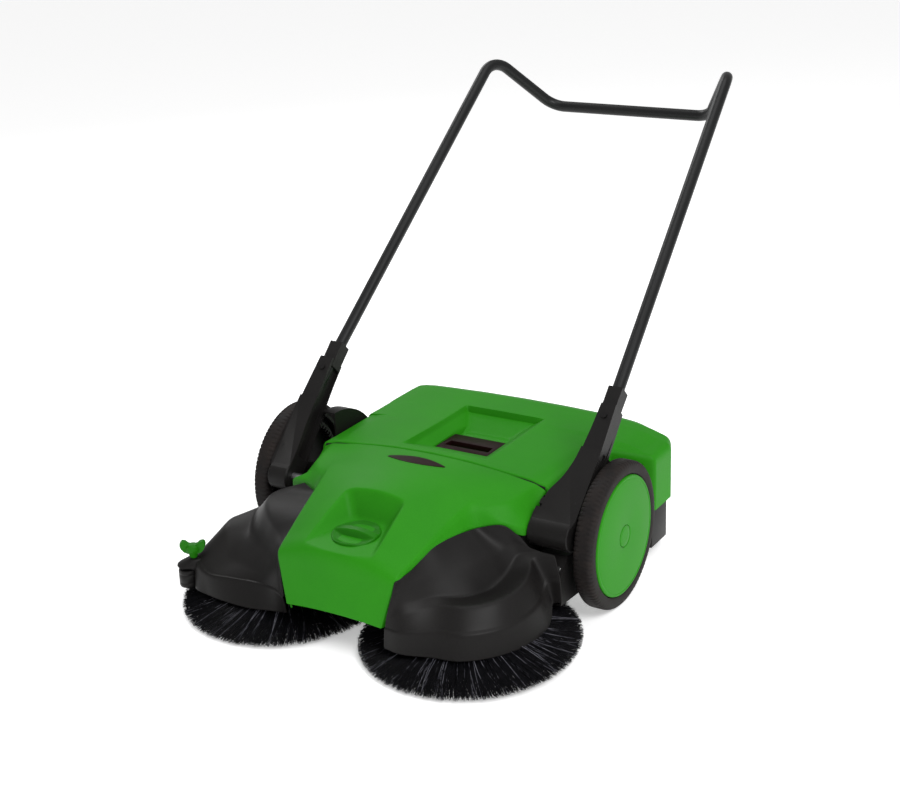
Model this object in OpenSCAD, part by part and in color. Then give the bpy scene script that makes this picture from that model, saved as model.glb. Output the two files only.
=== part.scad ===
// Push carpet sweeper: two tilted disc brushes in front, a roller brush behind them,
// a pull-out dirt bin and a folding tubular handle. Millimetres, front towards -Y, up +Z.
// Every module is drawn with the wheel axle at y = 0 and the floor at z = 0;
// place() then moves it so that the whole object is centred on the origin.

/* [Wheels] */
// Outside radius of the tyres
wheel_r = 135; // [130:1:138]
// Distance from the middle of the object to a tyre's outer side wall
wheel_out_x = 361; // [355:1:365]
// Width of a tyre
tyre_w = 36; // [30:1:38]
// Radius of the green hub cap
cap_r = 110; // [105:1:112]
// Radius of the fixed wheel axles
axle_r = 8; // [6:0.5:9]

/* [Disc brushes] */
// Sideways place of a brush's centre
brush_x = 193; // [193:1:195]
// Distance of the brush centres in front of the wheel axle
brush_ahead = 259; // [250:1:262]
// Radius to the bristle tips
brush_r = 192; // [180:1:192]
// Forward lean of the brushes, in degrees
brush_tilt = 3.4; // [2:0.1:5]
// Height of the brush centre where its tips start
brush_z = 16; // [15:0.5:20]

/* [Roller brush] */
// Radius to the bristle tips
roller_r = 42; // [38:1:43]
// Length of the bristle field
roller_len = 400; // [340:5:400]

/* [Handle] */
// Outside diameter of the tube
tube_d = 23; // [20:0.5:25]
// Wall thickness of the tube
tube_wall = 1.5; // [1:0.25:2]
// Height of the handle pivot
pivot_z = 172; // [168:1:176]
// Distance of the handle pivot in front of the wheel axle
pivot_ahead = 114; // [110:1:118]
// Radius of the round barrel at the pivot
barrel_r = 27; // [24:0.5:28]

/* [Covers] */
// Wall thickness of the moulded covers
wall = 3; // [2.5:0.25:3.5]
// Half width of the hood where it meets the bin
hood_half = 238.5; // [234:0.5:238.5]

/* [Bin] */
// Half width of the bin between the wheels
bin_half = 243; // [236:1:244]
// Half width of the bin behind the wheels
bin_flare = 337; // [320:1:340]
// Distance of the rear wall behind the wheel axle
bin_rear = 305; // [295:1:315]

/* [Hidden] */
$fn = 64;

green = [0.16, 0.52, 0.11];
black = [0.07, 0.07, 0.075];
maroon = [0.12, 0.07, 0.07];
steel = [0.65, 0.66, 0.68];
grey = [0.35, 0.35, 0.36];

fit = 0.05;            // running clearance of a shaft in its bore
brush_y = -brush_ahead;
pivot_y = -pivot_ahead;
brush_front_y = brush_y - brush_r * cos(brush_tilt) - 10 * sin(brush_tilt);
grip_y = 785;          // the handle's cross bar behind the axle
axle_y = -(grip_y + tube_d / 2 + brush_front_y) / 2;

// Drive: internal ring gear in the wheel, pinion, belt, bevel pair
gear_m = 3;            // module of the ring gear and its pinion
ring_teeth = 60;
pinion_teeth = 14;
drive_c = gear_m * (ring_teeth - pinion_teeth) / 2;
drive_drop = 25;       // the pinion sits this many degrees below the axle's level
pinion_y = -drive_c * cos(drive_drop);
pinion_z = wheel_r - drive_c * sin(drive_drop);
bevel_up = 62;         // the bevel gears' common point above the brush's tip plane
bevel_y = brush_y - bevel_up * sin(brush_tilt);
bevel_z = brush_z + bevel_up * cos(brush_tilt);
bevel_teeth = 16;
bevel_r = 14;
plate_x = 226;         // inner face of the chassis side plates
plate_t = 8;
roller_y = -23;
roller_z = 46;
roller_core_r = 15;
belt_x = 262;          // the brush belts lie from here outwards
belt_w = 8;

module place() translate([0, axle_y, 0]) children();
module side(s) { if (s > 0) children(); else mirror([1, 0, 0]) children(); }
module xcyl(r, x0, x1, y, z, fn = 64)
    translate([x0, y, z]) rotate([0, 90, 0]) cylinder(r = r, h = x1 - x0, $fn = fn);
module zcyl(r, z0, z1, x, y) translate([x, y, z0]) cylinder(r = r, h = z1 - z0);
module block(lo, hi) translate(lo) cube(hi - lo);
// Local frame of a disc brush: its centre on the tip plane, +z up its leaning axis
module brush_frame() translate([brush_x, brush_y, brush_z]) rotate([brush_tilt, 0, 0]) children();

// Faces of a closed skin: an upper grid of rows x cols points, then a lower one, then the rim
function shell_faces(rows, cols) =
    let (n = rows * cols,
         top = [for (i = [0:rows - 2], j = [0:cols - 2])
             let (a = i * cols + j, b = a + 1, c = a + cols, d = c + 1)
             each [[a, c, b], [b, c, d]]],
         low = [for (f = top) [f[2] + n, f[1] + n, f[0] + n]],
         edge = concat(
             [for (j = [0:cols - 1]) j],
             [for (i = [1:rows - 1]) i * cols + cols - 1],
             [for (j = [cols - 2:-1:0]) (rows - 1) * cols + j],
             [for (i = [rows - 2:-1:1]) i * cols]),
         m = len(edge),
         rim = [for (k = [0:m - 1])
             let (a = edge[k], b = edge[(k + 1) % m])
             each [[a, b, a + n], [b, b + n, a + n]]])
    concat(top, low, rim);
// A thin closed shell over a grid of points; its inner side lies t below the outer one
function grid_normal(g, i, j) =
    let (a = g[min(i + 1, len(g) - 1)][j] - g[max(i - 1, 0)][j],
         b = g[i][min(j + 1, len(g[0]) - 1)] - g[i][max(j - 1, 0)],
         n = cross(b, a))
    n / norm(n);
module grid_shell(g, t) {
    rows = len(g);
    cols = len(g[0]);
    inner = [for (i = [0:rows - 1]) [for (j = [0:cols - 1]) g[i][j] - t * grid_normal(g, i, j)]];
    points = concat([for (r = g) each r], [for (r = inner) each r]);
    polyhedron(points, shell_faces(rows, cols));
}

// ---- Hood ----
// Each station: height of the middle, then ridge, shoulder and lower edge points
hood_stations = [
    // mid y, mid z, ridge, shoulder, edge
    [-391, 80, [98, -389, 74], [101, -384, 74], [103, -376, 74]],
    [-384, 135, [111, -381, 122], [115, -376, 122], [117, -366, 122]],
    [-378, 180, [120.5, -373, 160], [124, -367, 158], [125, -357, 154]],
    [-368, 193, [122.5, -362, 168], [125.5, -354, 163], [126, -345, 158]],
    [-335, 207, [126.5, -335, 178], [128.5, -335, 174], [129, -335, 167]],
    [-280, 230, [134, -280, 199], [138, -280, 194], [141, -280, 186]],
    [-226, 248, [142, -226, 217], [149, -226, 208], [157, -226, 192]],
    [-187, 252, [150, -187, 228], [160, -187, 215], [173, -187, 192]],
    [-165, 254, [154, -165, 233], [178, -165, 222], [209, -165, 196]],
    [-140, 255, [157, -140, 236], [202, -140, 224], [hood_half, -140, 184]],
    [-100, 254, [161, -100, 239], [214, -100, 229], [hood_half, -100, 197]],
    [-62, 250, [165, -62, 240], [218, -62, 232], [hood_half, -62, 222]]
];
function crown(s, u) =
    [u * s[2][0], s[0] + (s[2][1] - s[0]) * u * u, s[1] + (s[2][2] - s[1]) * u * u];
function tuck(p) = p + [p[0] > 200 ? 0 : -3, 0, -14];
function flip(p) = [-p[0], p[1], p[2]];
function half_row(s) =
    [crown(s, 1 / 3), crown(s, 2 / 3), s[2], s[3], s[4], tuck(s[4])];
function hood_row(s) =
    let (h = half_row(s))
    concat([for (k = [5:-1:0]) flip(h[k])], [crown(s, 0)], h);
hood_grid = [for (s = hood_stations) hood_row(s)];

knob_y = -306;
knob_z = 194;
knob_lean = 4.8;       // forward lean of the height knob, in degrees
knob_r = 44;
module knob_frame() translate([0, knob_y, knob_z]) rotate([knob_lean, 0, 0]) children();
// The hollow round the height knob: a sunk floor with three sloping walls, open to the front
module knob_hollow(grow) hull() {
    knob_frame() translate([0, 0, -2 - grow]) linear_extrude(0.2)
        polygon([[-69 - grow, -51 - grow], [69 + grow, -51 - grow],
                 [37 + grow, 45 + grow], [-37 - grow, 45 + grow]]);
    for (s = [-1, 1]) {
        translate([s * (91 + grow), -226 + grow, 257]) cube(0.2, center = true);
        translate([s * (71 + grow), -366 - grow, 240]) cube(0.2, center = true);
    }
}
// A closed solid under a grid of points, down to the height low
module under_grid(g, low) {
    rows = len(g);
    cols = len(g[0]);
    foot = [for (r = g) [for (p = r) [p[0], p[1], low]]];
    points = concat([for (r = g) each r], [for (r = foot) each r]);
    polyhedron(points, shell_faces(rows, cols));
}
hood_top_grid = [for (i = [3:len(hood_stations) - 1])
    [for (j = [2:len(hood_grid[i]) - 3]) hood_grid[i][j] - [0, 0, 0.6]]];
module hood_skin() difference() {
    union() {
        grid_shell(hood_grid, wall);
        intersection() {
            knob_hollow(wall);
            under_grid(hood_top_grid, 130);
        }
    }
    knob_hollow(0);
}
module hood() color(green) place() difference() {
    union() {
        hood_skin();
        for (s = [-1, 1])
            side(s) zcyl(7, 190, 242, 120, -140);
    }
    knob_frame() cylinder(r = knob_r + 1, h = 40, center = true);
    for (s = [-1, 1])
        side(s) {
            zcyl(2.5, 188, 210, 120, -140);
            // Room for the handle's pivot pin
            xcyl(8.4, plate_x - 12, 250, pivot_y, pivot_z);
        }
}
// A pointed oval plate that follows the hood's crown
function raised(g, dz) = [for (r = g) [for (p = r) p + [0, 0, dz]]];
module badge() color(maroon) place() difference() {
    intersection() {
        translate([0, -108, 200]) intersection() {
            translate([0, 128, 0]) cylinder(r = 143, h = 80, $fn = 128);
            translate([0, -128, 0]) cylinder(r = 143, h = 80, $fn = 128);
        }
        under_grid(raised(hood_top_grid, 2.4), 200);
    }
    under_grid(raised(hood_top_grid, 0.65), 150);
}
module hood_screws() color(steel) place()
    for (s = [-1, 1]) side(s) {
        zcyl(2.5, 184, 208, 120, -140);
        zcyl(5, 180, 184, 120, -140);
    }

// ---- Fenders ----
// Each column runs from the hood's side down over the ridge, hollow and rim to the skirt
left_columns = [
    [[126.2, -377, 157], [121, -381, 138], [116, -387, 115],
     [112, -390, 98], [109, -392, 78], [107, -393, 42]],
    [[133.2, -340, 163], [133, -356, 143], [136, -368, 121],
     [138, -380, 104], [139, -392, 78], [139, -396, 40]],
    [[137.2, -308, 174], [150, -316, 148], [165, -324, 118],
     [177, -338, 110], [192, -364, 80], [190, -379, 38]],
    [[143.6, -282, 184], [167, -286, 149], [196, -292, 110],
     [224, -322, 113], [240, -353, 80], [241, -367, 38]],
    [[151.6, -252, 188], [180, -262, 150], [212, -268, 108],
     [260, -287, 115], [279, -313, 80], [285, -324, 40]],
    [[160.2, -226, 189], [193, -238, 150], [222, -240, 107],
     [276, -246, 118], [298, -262, 80], [311, -268, 41]],
    [[168.4, -207.4, 189], [205, -208, 151], [228, -212, 114],
     [278, -208, 124], [300, -212, 82], [315, -215, 42]],
    [[177, -189, 190], [214, -182, 153], [231, -182, 126],
     [270, -176, 130], [290, -176, 86], [306, -178, 44]],
    [[211, -169, 193], [224, -162, 160], [237, -160, 142],
     [259, -154, 138], [272, -153, 100], [286, -153, 60]]
];
// The right fender is wider: it also covers the side guide roller
right_columns = [
    [[128.4, -374.6, 157], [124.5, -375, 138], [118, -376, 115],
     [116, -377, 98], [116, -376, 78], [118, -366, 42]],
    [[133.6, -340, 165], [136, -350, 146], [138, -357, 121],
     [141, -361, 100], [147, -362, 80], [147, -371, 40]],
    [[136.8, -308, 174], [164, -312, 156], [176, -328, 118],
     [184, -346, 94], [194, -358, 80], [194, -380, 39]],
    [[143.6, -282, 184], [200, -286, 164], [212, -304, 122],
     [226, -336, 94], [245, -364, 79], [246, -379, 39]],
    [[151.6, -252, 188], [230, -260, 170], [246, -286, 124],
     [270, -326, 98], [290, -368, 79], [287, -373, 39]],
    [[160.2, -226, 189], [252, -234, 172], [270, -262, 126],
     [302, -292, 132], [330, -352, 92], [321, -366, 42]],
    [[168.4, -207.4, 189], [264, -210, 172], [286, -232, 134],
     [322, -258, 134], [344, -318, 90], [344, -330, 44]],
    [[177, -189, 190], [270, -186, 171], [292, -204, 142],
     [326, -222, 128], [346, -262, 86], [350, -270, 46]],
    [[211, -169, 193], [270, -164, 168], [288, -176, 142],
     [314, -184, 126], [328, -204, 86], [334, -206, 50]]
];
module fender_shell(columns) difference() {
    grid_shell(columns, wall);
    xcyl(barrel_r + 4, 200, 340, pivot_y, pivot_z);
}
module left_fender() color(black) place() fender_shell(left_columns);

// ---- Guide roller on the right-hand corner ----
stem_x = -334;
stem_y = -351;
guide_x = -346;
guide_y = -356;
guide_r = 17.5;
module right_fender() color(black) place() difference() {
    union() {
        mirror([1, 0, 0]) fender_shell(right_columns);
        // Roof over the guide roller and the seat of its knob
        hull() {
            zcyl(13, 78, 94, stem_x, stem_y);
            zcyl(guide_r + 1, 78, 84, guide_x, guide_y);
        }
        block([-330, -352, 78], [-300, -322, 88]);
    }
    zcyl(guide_r + 3, 30, 78, guide_x, guide_y);
    zcyl(11, 60, 78, stem_x, stem_y);
    zcyl(4 + fit, 60, 120, stem_x, stem_y);
}
module guide_arm() color(black) place() difference() {
    hull() {
        zcyl(10, 73, 78, stem_x, stem_y);
        zcyl(9, 73, 78, guide_x, guide_y);
    }
    zcyl(4 + fit, 60, 90, stem_x, stem_y);
    zcyl(3, 60, 90, guide_x, guide_y);
}
module guide_roller_pin() color(steel) place() {
    zcyl(3, 36, 78, guide_x, guide_y);
    zcyl(6, 34, 36, guide_x, guide_y);
}
module guide_roller() color(black) place()
    translate([guide_x, guide_y, 38])
    rotate_extrude()
    polygon([[3 + fit, 0], [guide_r - 2, 0], [guide_r, 2], [guide_r, 32], [guide_r - 2, 34],
             [3 + fit, 34]]);
// A wing knob that clamps the roller's arm
module guide_knob() color(green) place() translate([stem_x, stem_y, 0]) {
    zcyl(4, 72, 96, 0, 0);
    translate([0, 0, 94.4]) cylinder(r = 5.5, h = 10);
    translate([0, 0, 102]) cylinder(r1 = 8, r2 = 13, h = 12);
    rotate([90, 0, 30]) translate([0, 0, -4.5]) linear_extrude(9)
        polygon([[-9, 103], [9, 103], [19, 112], [22, 122], [20, 126], [10, 120], [-10, 120],
                 [-20, 126], [-22, 122], [-19, 112]]);
}

// ---- Chassis ----
module bearing_arm() {
    // Carries the brush spindle and the bevel pinion's shaft
    block([150, -274, 100], [184, -196, 112]);
    brush_frame() translate([0, 0, 83]) cylinder(r = 12, h = 11);
    block([178, -238, 86], [250, -224, 101]);
    block([236, -276, 66], [250, -224, 92]);
    // Lower link out to the side plate
    block([182, -212, 84], [plate_x + plate_t, -196, 104]);
}
module chassis_side() {
    difference() {
        union() {
            // Side plate
            translate([plate_x, 0, 0]) rotate([90, 0, 90]) linear_extrude(plate_t)
                polygon([[-212, 84], [-212, 98], [-186, 112], [-162, 130], [-148, 146],
                         [-138, 174], [-126, 184], [-70, 196], [30, 175], [60, 140],
                         [60, 110], [20, 96], [-10, 32], [-60, 42], [-110, 62]]);
            // Hub of the fixed wheel axle
            xcyl(17, plate_x, 302, 0, wheel_r);
            // Hub of the handle pivot pin
            xcyl(15, plate_x - 8, plate_x + plate_t, pivot_y, pivot_z);
            // Seat of the pinion shaft's outer bearing
            xcyl(13, plate_x, 258, pinion_y, pinion_z);
        }
        xcyl(axle_r, plate_x - 1, 303, 0, wheel_r);
        xcyl(8, plate_x - 10, plate_x + 12, pivot_y, pivot_z);
        xcyl(9, plate_x - 1, 259, pinion_y, pinion_z);
        xcyl(7 + fit, plate_x - 1, plate_x + plate_t + 1, roller_y, roller_z);
    }
}
module chassis_frame() color(black) place() difference() {
    union() {
        for (s = [-1, 1])
            side(s) {
                chassis_side();
                bearing_arm();
            }
        // Cross beams between the side plates
        block([-184, -216, 100], [184, -196, 165]);
        block([-plate_x, -120, 180], [plate_x, -96, 190]);
        // Tongue to the height screw and its nut
        block([-22, -326, 140], [22, -196, 152]);
        zcyl(16, 128, 140, 0, knob_y - 5);
        // Ears of the support lever's pin
        for (s = [-1, 1])
            side(s) block([20, -222, 100], [27, -206, 141]);
        // Posts for the hood's screws
        for (s = [-1, 1])
            side(s) block([112, -150, 184.2], [128, -119, 189.8]);
    }
    for (s = [-1, 1])
        side(s) {
            brush_frame() cylinder(r = 8 + fit, h = 110);
            xcyl(9, 230, 256, bevel_y, bevel_z);
            zcyl(2.5, 170, 200, 120, -140);
        }
    // Room for the support lever, and the bore of its pin
    block([-19.5, -226, 96], [19.5, -190, 121]);
    xcyl(4, -30, 30, -214, 108);
    translate([0, knob_y, knob_z]) rotate([knob_lean, 0, 0])
        translate([0, 0, -80]) cylinder(r = 6 + fit, h = 80);
}
module wheel_axles() color(steel) place()
    for (s = [-1, 1]) side(s) {
        xcyl(axle_r, plate_x, 352, 0, wheel_r);
        xcyl(12, 352, 355, 0, wheel_r);
    }
module handle_pivot_pins() color(steel) place()
    for (s = [-1, 1]) side(s) xcyl(8, plate_x - 8, 318, pivot_y, pivot_z);
module shaft_bearings() color("tan") place()
    for (s = [-1, 1]) side(s) {
        difference() {
            xcyl(9, plate_x, 258, pinion_y, pinion_z);
            xcyl(5 + fit, plate_x - 1, 260, pinion_y, pinion_z);
        }
        difference() {
            xcyl(9, 236, 250, bevel_y, bevel_z);
            xcyl(5 + fit, 230, 260, bevel_y, bevel_z);
        }
    }
module lever_pin() color(steel) place() xcyl(4, -27, 27, -214, 108);
module dirt_lip() color(black) place() {
    block([-212, 22, 16], [212, 25, 70]);
    block([-plate_x, 20, 64], [plate_x, 28, 78]);
}
module wheel_guard() {
    difference() {
        union() {
            // Curved band over the inner side of the wheel
            intersection() {
                difference() {
                    xcyl(134, 248, 276, 0, wheel_r, 128);
                    xcyl(131, 247, 277, 0, wheel_r, 128);
                }
                block([240, -8, wheel_r - 20], [290, 140, 280]);
            }
            // Web that carries it
            intersection() {
                xcyl(133, 248, 251, 0, wheel_r, 128);
                block([240, -8, wheel_r - 20], [290, 140, 280]);
            }
            xcyl(22, 248, 262, 0, wheel_r);
        }
        xcyl(17, 240, 300, 0, wheel_r);
    }
}
module right_wheel_guard() color(black) place() side(-1) wheel_guard();
module belt_cover() {
    difference() {
        translate([259, 0, 0]) rotate([90, 0, 90]) linear_extrude(52)
            polygon([[-148, 53], [-148, 118], [-120, 136], [-34, 136], [-34, 62], [-72, 48]]);
        translate([256, 0, 0]) rotate([90, 0, 90]) linear_extrude(52)
            polygon([[-160, 56.4], [-160, 114], [-119, 133], [-37, 133], [-37, 64], [-73, 51]]);
        xcyl(8, 300, 320, pinion_y, pinion_z);
    }
}
module left_belt_cover() color(black) place() belt_cover();
module right_belt_cover() color(black) place() side(-1) belt_cover();

// ---- Belts ----
// Outline of a belt round two pulleys: centres a and b in y and z, radii ra and rb
function belt_outline(a, ra, b, rb) =
    let (d = norm(b - a),
         turn = atan2(b[1] - a[1], b[0] - a[0]),
         lean = acos((ra - rb) / d),
         n = 20)
    concat(
        [for (k = [0:n]) let (w = turn + lean + k * (360 - 2 * lean) / n) a + ra * [cos(w), sin(w)]],
        [for (k = [0:n]) let (w = turn - lean + k * 2 * lean / n) b + rb * [cos(w), sin(w)]]);
module belt(x, w, a, ra, b, rb, t)
    translate([x, 0, 0]) rotate([90, 0, 90]) linear_extrude(w) difference() {
        polygon(belt_outline(a, ra + t, b, rb + t));
        polygon(belt_outline(a, ra, b, rb));
    }
module brush_belt()
    belt(belt_x + 1, belt_w - 2, [pinion_y, pinion_z], 10.3, [bevel_y, bevel_z], 10.3, 1.6);
module left_brush_belt() color(black) place() brush_belt();
module right_brush_belt() color(black) place() side(-1) brush_belt();
module roller_belt() color(black) place()
    belt(215, 6, [pinion_y, pinion_z], 10.3, [roller_y, roller_z], 16.3, 1.6);

// ---- Wheels ----
module tyre_body() {
    outer = wheel_out_x;
    inner = wheel_out_x - tyre_w;
    rotate([0, 90, 0]) rotate_extrude($fn = 128)
        polygon([[118, inner + 3], [125, inner], [wheel_r - 3, inner + 1.5],
                 [wheel_r, inner + 6], [wheel_r, outer - 6], [wheel_r - 3, outer - 1.5],
                 [125, outer], [cap_r + 2, outer - 1], [cap_r + 2, outer - 5],
                 [118, outer - 7]]);
}
module at_wheel() translate([0, 0, wheel_r]) children();
module left_tyre() color(black) place() at_wheel() tyre_body();
module right_tyre() color(black) place() side(-1) at_wheel() tyre_body();
// Trapezoid teeth pointing inwards or outwards
module teeth(count, root, tip, wide, narrow)
    for (k = [0:count - 1])
        rotate([0, 0, k * 360 / count])
        polygon([[root, -wide / 2], [tip, -narrow / 2], [tip, narrow / 2], [root, wide / 2]]);
ring_pitch = gear_m * ring_teeth / 2;
pinion_pitch = gear_m * pinion_teeth / 2;
// The drive pinion lies at this angle in the ring gear's own plane
mesh_angle = 180 + drive_drop;
module rim_body() rotate([90, 0, 90]) difference() {
    // Hub sleeve, web, drum and the spokes under the cap
    union() {
        translate([0, 0, 304]) cylinder(r = 15, h = 44);
        translate([0, 0, 341]) cylinder(r = 116, h = 4);
        translate([0, 0, 327]) difference() {
            cylinder(r = 117.6, h = 27, $fn = 128);
            translate([0, 0, -1]) cylinder(r = 112, h = 29, $fn = 128);
        }
        for (k = [0:5])
            rotate([0, 0, 60 * k]) translate([14, -2, 344.5]) cube([99.6, 4, 8.5]);
        translate([0, 0, 329]) ring_gear();
    }
    translate([0, 0, 300]) cylinder(r = axle_r + fit, h = 60);
    translate([0, 0, 348]) cylinder(r = 24, h = 30);
}
module ring_gear()
    linear_extrude(12.2) {
        difference() {
            circle(r = 99, $fn = 128);
            circle(r = ring_pitch + 3.9, $fn = 128);
        }
        rotate([0, 0, mesh_angle + 180 / ring_teeth])
            teeth(ring_teeth, ring_pitch + 4.1, ring_pitch - 2.6, 6.2, 2.6);
    }
module left_wheel_rim() color(black) place() at_wheel() rim_body();
module right_wheel_rim() color(black) place() side(-1) at_wheel() rim_body();
module cap_body()
    rotate([0, 90, 0]) rotate_extrude($fn = 128)
        polygon([[20.3, 354.5], [cap_r - 3, 354.5], [cap_r, 356], [cap_r, 359],
                 [cap_r - 2, 361.5], [cap_r - 8, 362.5], [20.3, 362.5]]);
module left_hub_cap() color(green) place() at_wheel() cap_body();
module right_hub_cap() color(green) place() side(-1) at_wheel() cap_body();
module plug_body()
    rotate([0, 90, 0]) rotate_extrude()
        polygon([[0, 356.5], [20, 356.5], [20, 361.5], [19, 362.3], [0, 362.3]]);
module left_centre_plug() color(green) place() at_wheel() plug_body();
module right_centre_plug() color(green) place() side(-1) at_wheel() plug_body();

// ---- Drive pinion and its shaft ----
module drive_pinion()
    translate([329.5, pinion_y, pinion_z]) rotate([90, 0, 90]) difference() {
        linear_extrude(11) {
            circle(r = pinion_pitch - 3.6);
            rotate([0, 0, mesh_angle])
                teeth(pinion_teeth, pinion_pitch - 4, pinion_pitch + 2.6, 5.6, 2.0);
        }
        translate([0, 0, -1]) cylinder(r = 5, h = 13);
    }
module left_drive_pinion() color("ivory") place() drive_pinion();
module right_drive_pinion() color("ivory") place() side(-1) drive_pinion();
module pulley(x0, x1, r, y, z) {
    xcyl(r, x0, x1, y, z);
    xcyl(r + 2.5, x0 - 0.8, x0 + 0.4, y, z);
    xcyl(r + 2.5, x1 - 0.4, x1 + 0.8, y, z);
}
module pinion_shaft(inner) {
    xcyl(5, inner, 340.5, pinion_y, pinion_z);
    pulley(belt_x + 0.4, belt_x + belt_w - 0.4, 10, pinion_y, pinion_z);
}
module left_pinion_shaft() color(steel) place() {
    pinion_shaft(212);
    pulley(214.4, 221.6, 10, pinion_y, pinion_z);
}
module right_pinion_shaft() color(steel) place() side(-1) pinion_shaft(plate_x);

// ---- Bevel pair ----
// Straight bevel gear: big end of radius bevel_r, small end at 0.6 of it, along +z
module bevel(turn) {
    depth = 0.4 * bevel_r;
    translate([0, 0, bevel_r]) cylinder(r = bevel_r - 0.7, h = 5);
    translate([0, 0, bevel_r - depth])
        cylinder(r1 = 0.6 * (bevel_r - 1.6), r2 = bevel_r - 1.6, h = depth);
    translate([0, 0, bevel_r]) mirror([0, 0, 1])
        linear_extrude(depth, scale = 0.6)
        rotate([0, 0, turn])
        teeth(bevel_teeth, bevel_r - 2.4, bevel_r + 0.7, 2.4, 0.9);
}
module bevel_pinion()
    difference() {
        translate([brush_x, bevel_y, bevel_z]) rotate([0, 90, 0]) bevel(0);
        xcyl(5, brush_x, 240, bevel_y, bevel_z);
    }
module left_bevel_pinion() color("ivory") place() bevel_pinion();
module right_bevel_pinion() color("ivory") place() side(-1) bevel_pinion();
module bevel_shaft() {
    xcyl(5, brush_x + 9, belt_x + belt_w, bevel_y, bevel_z);
    pulley(belt_x + 0.4, belt_x + belt_w - 0.4, 10, bevel_y, bevel_z);
}
module left_bevel_shaft() color(steel) place() bevel_shaft();
module right_bevel_shaft() color(steel) place() side(-1) bevel_shaft();
module bevel_gear()
    brush_frame() difference() {
        translate([0, 0, bevel_up]) bevel(180 / bevel_teeth);
        cylinder(r = 8, h = 140);
    }
module left_bevel_gear() color("ivory") place() bevel_gear();
module right_bevel_gear() color("ivory") place() side(-1) bevel_gear();

// ---- Disc brushes ----
module brush_plate() brush_frame() difference() {
    union() {
        translate([0, 0, 38.2]) cylinder(r = 80, h = 7);
        translate([0, 0, 24]) cylinder(r = 56, h = 14.3);
    }
    translate([0, 0, 10]) cylinder(r = 8, h = 60);
}
module left_brush_plate() color(black) place() brush_plate();
module right_brush_plate() color(black) place() side(-1) brush_plate();
module brush_bristles() brush_frame()
    rotate_extrude($fn = 128)
    polygon([[58, 22], [brush_r - 4, 0], [brush_r, 2], [brush_r, 9], [95, 26], [58, 36]]);
module left_brush_bristles() color("dimgray") place() brush_bristles();
module right_brush_bristles() color("dimgray") place() side(-1) brush_bristles();
module brush_spindle() brush_frame() {
    translate([0, 0, 22]) cylinder(r = 8, h = 73);
    translate([0, 0, 16]) cylinder(r = 13, h = 6, $fn = 6);
    translate([0, 0, 22]) cylinder(r = 15, h = 1.9);
}
module left_brush_spindle() color(steel) place() brush_spindle();
module right_brush_spindle() color(steel) place() side(-1) brush_spindle();

// ---- Roller brush ----
module roller_core() color(black) place() {
    xcyl(roller_core_r, -roller_len / 2, roller_len / 2, roller_y, roller_z);
    xcyl(7, -plate_x - plate_t, plate_x + plate_t, roller_y, roller_z);
    pulley(214.4, 221.6, 16, roller_y, roller_z);
}
module roller_bristles() color("dimgray") place() difference() {
    xcyl(roller_r, -roller_len / 2, roller_len / 2, roller_y, roller_z, 128);
    xcyl(roller_core_r, -roller_len, roller_len, roller_y, roller_z);
}

// ---- Handle ----
top_p = [302, 95, 365];        // the tube leaves the bracket here
bend_p = [269.6, 675, 845];    // corner at the top of a leg
grip_p = [183, grip_y, 727.5]; // corner beside the cross bar
leg_dir = (bend_p - top_p) / norm(bend_p - top_p);
foot_p = top_p - 235 * leg_dir;
lean_a = atan2(top_p[2] - pivot_z, top_p[1] - pivot_y);
bracket_len = norm([top_p[1] - pivot_y, top_p[2] - pivot_z]);
function unit(v) = v / norm(v);
// Points of a round bend at corner b between a and c
function bend(a, b, c, r, n) =
    let (u = unit(a - b), v = unit(c - b),
         half = acos(u * v) / 2,
         d = r / tan(half),
         axis = unit(u + v),
         m = b + axis * r / sin(half),
         e1 = unit(b + u * d - m),
         nrm = unit(cross(e1, unit(b + v * d - m))),
         e2 = cross(nrm, e1),
         sweep = 180 - 2 * half)
    [for (k = [0:n]) m + r * (cos(k * sweep / n) * e1 + sin(k * sweep / n) * e2)];
route_half = concat([foot_p], bend(foot_p, bend_p, grip_p, 46, 8),
                    bend(bend_p, grip_p, flip(grip_p), 48, 7));
route = concat(route_half, [for (k = [len(route_half) - 1:-1:0]) flip(route_half[k])]);
// A round pipe with open ends, swept along points p
module sweep_pipe(p, outer, inner, sides) {
    n = len(p);
    m = n * sides;
    ref = [0, -0.64, 0.77];
    function tangent(i) = unit(p[min(i + 1, n - 1)] - p[max(i - 1, 0)]);
    function ring(i, r) =
        let (t = tangent(i), a = unit(cross(t, ref)), b = cross(a, t))
        [for (k = [0:sides - 1]) p[i] + r * (cos(360 * k / sides) * a + sin(360 * k / sides) * b)];
    points = concat([for (i = [0:n - 1]) each ring(i, outer)], [for (i = [0:n - 1]) each ring(i, inner)]);
    walls = [for (i = [0:n - 2], k = [0:sides - 1])
        let (a = i * sides + k, b = i * sides + (k + 1) % sides, c = a + sides, d = b + sides)
        each [[a, b, c], [b, d, c], [m + a, m + c, m + b], [m + b, m + c, m + d]]];
    ends = [for (k = [0:sides - 1])
        let (a = k, b = (k + 1) % sides, c = m - sides + a, d = m - sides + b)
        each [[b, a, m + a], [b, m + a, m + b], [c, d, m + d], [c, m + d, m + c]]];
    polyhedron(points, concat(walls, ends));
}
module handle_tube() color(black) place()
    sweep_pipe(route, tube_d / 2, tube_d / 2 - tube_wall, 24);
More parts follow.
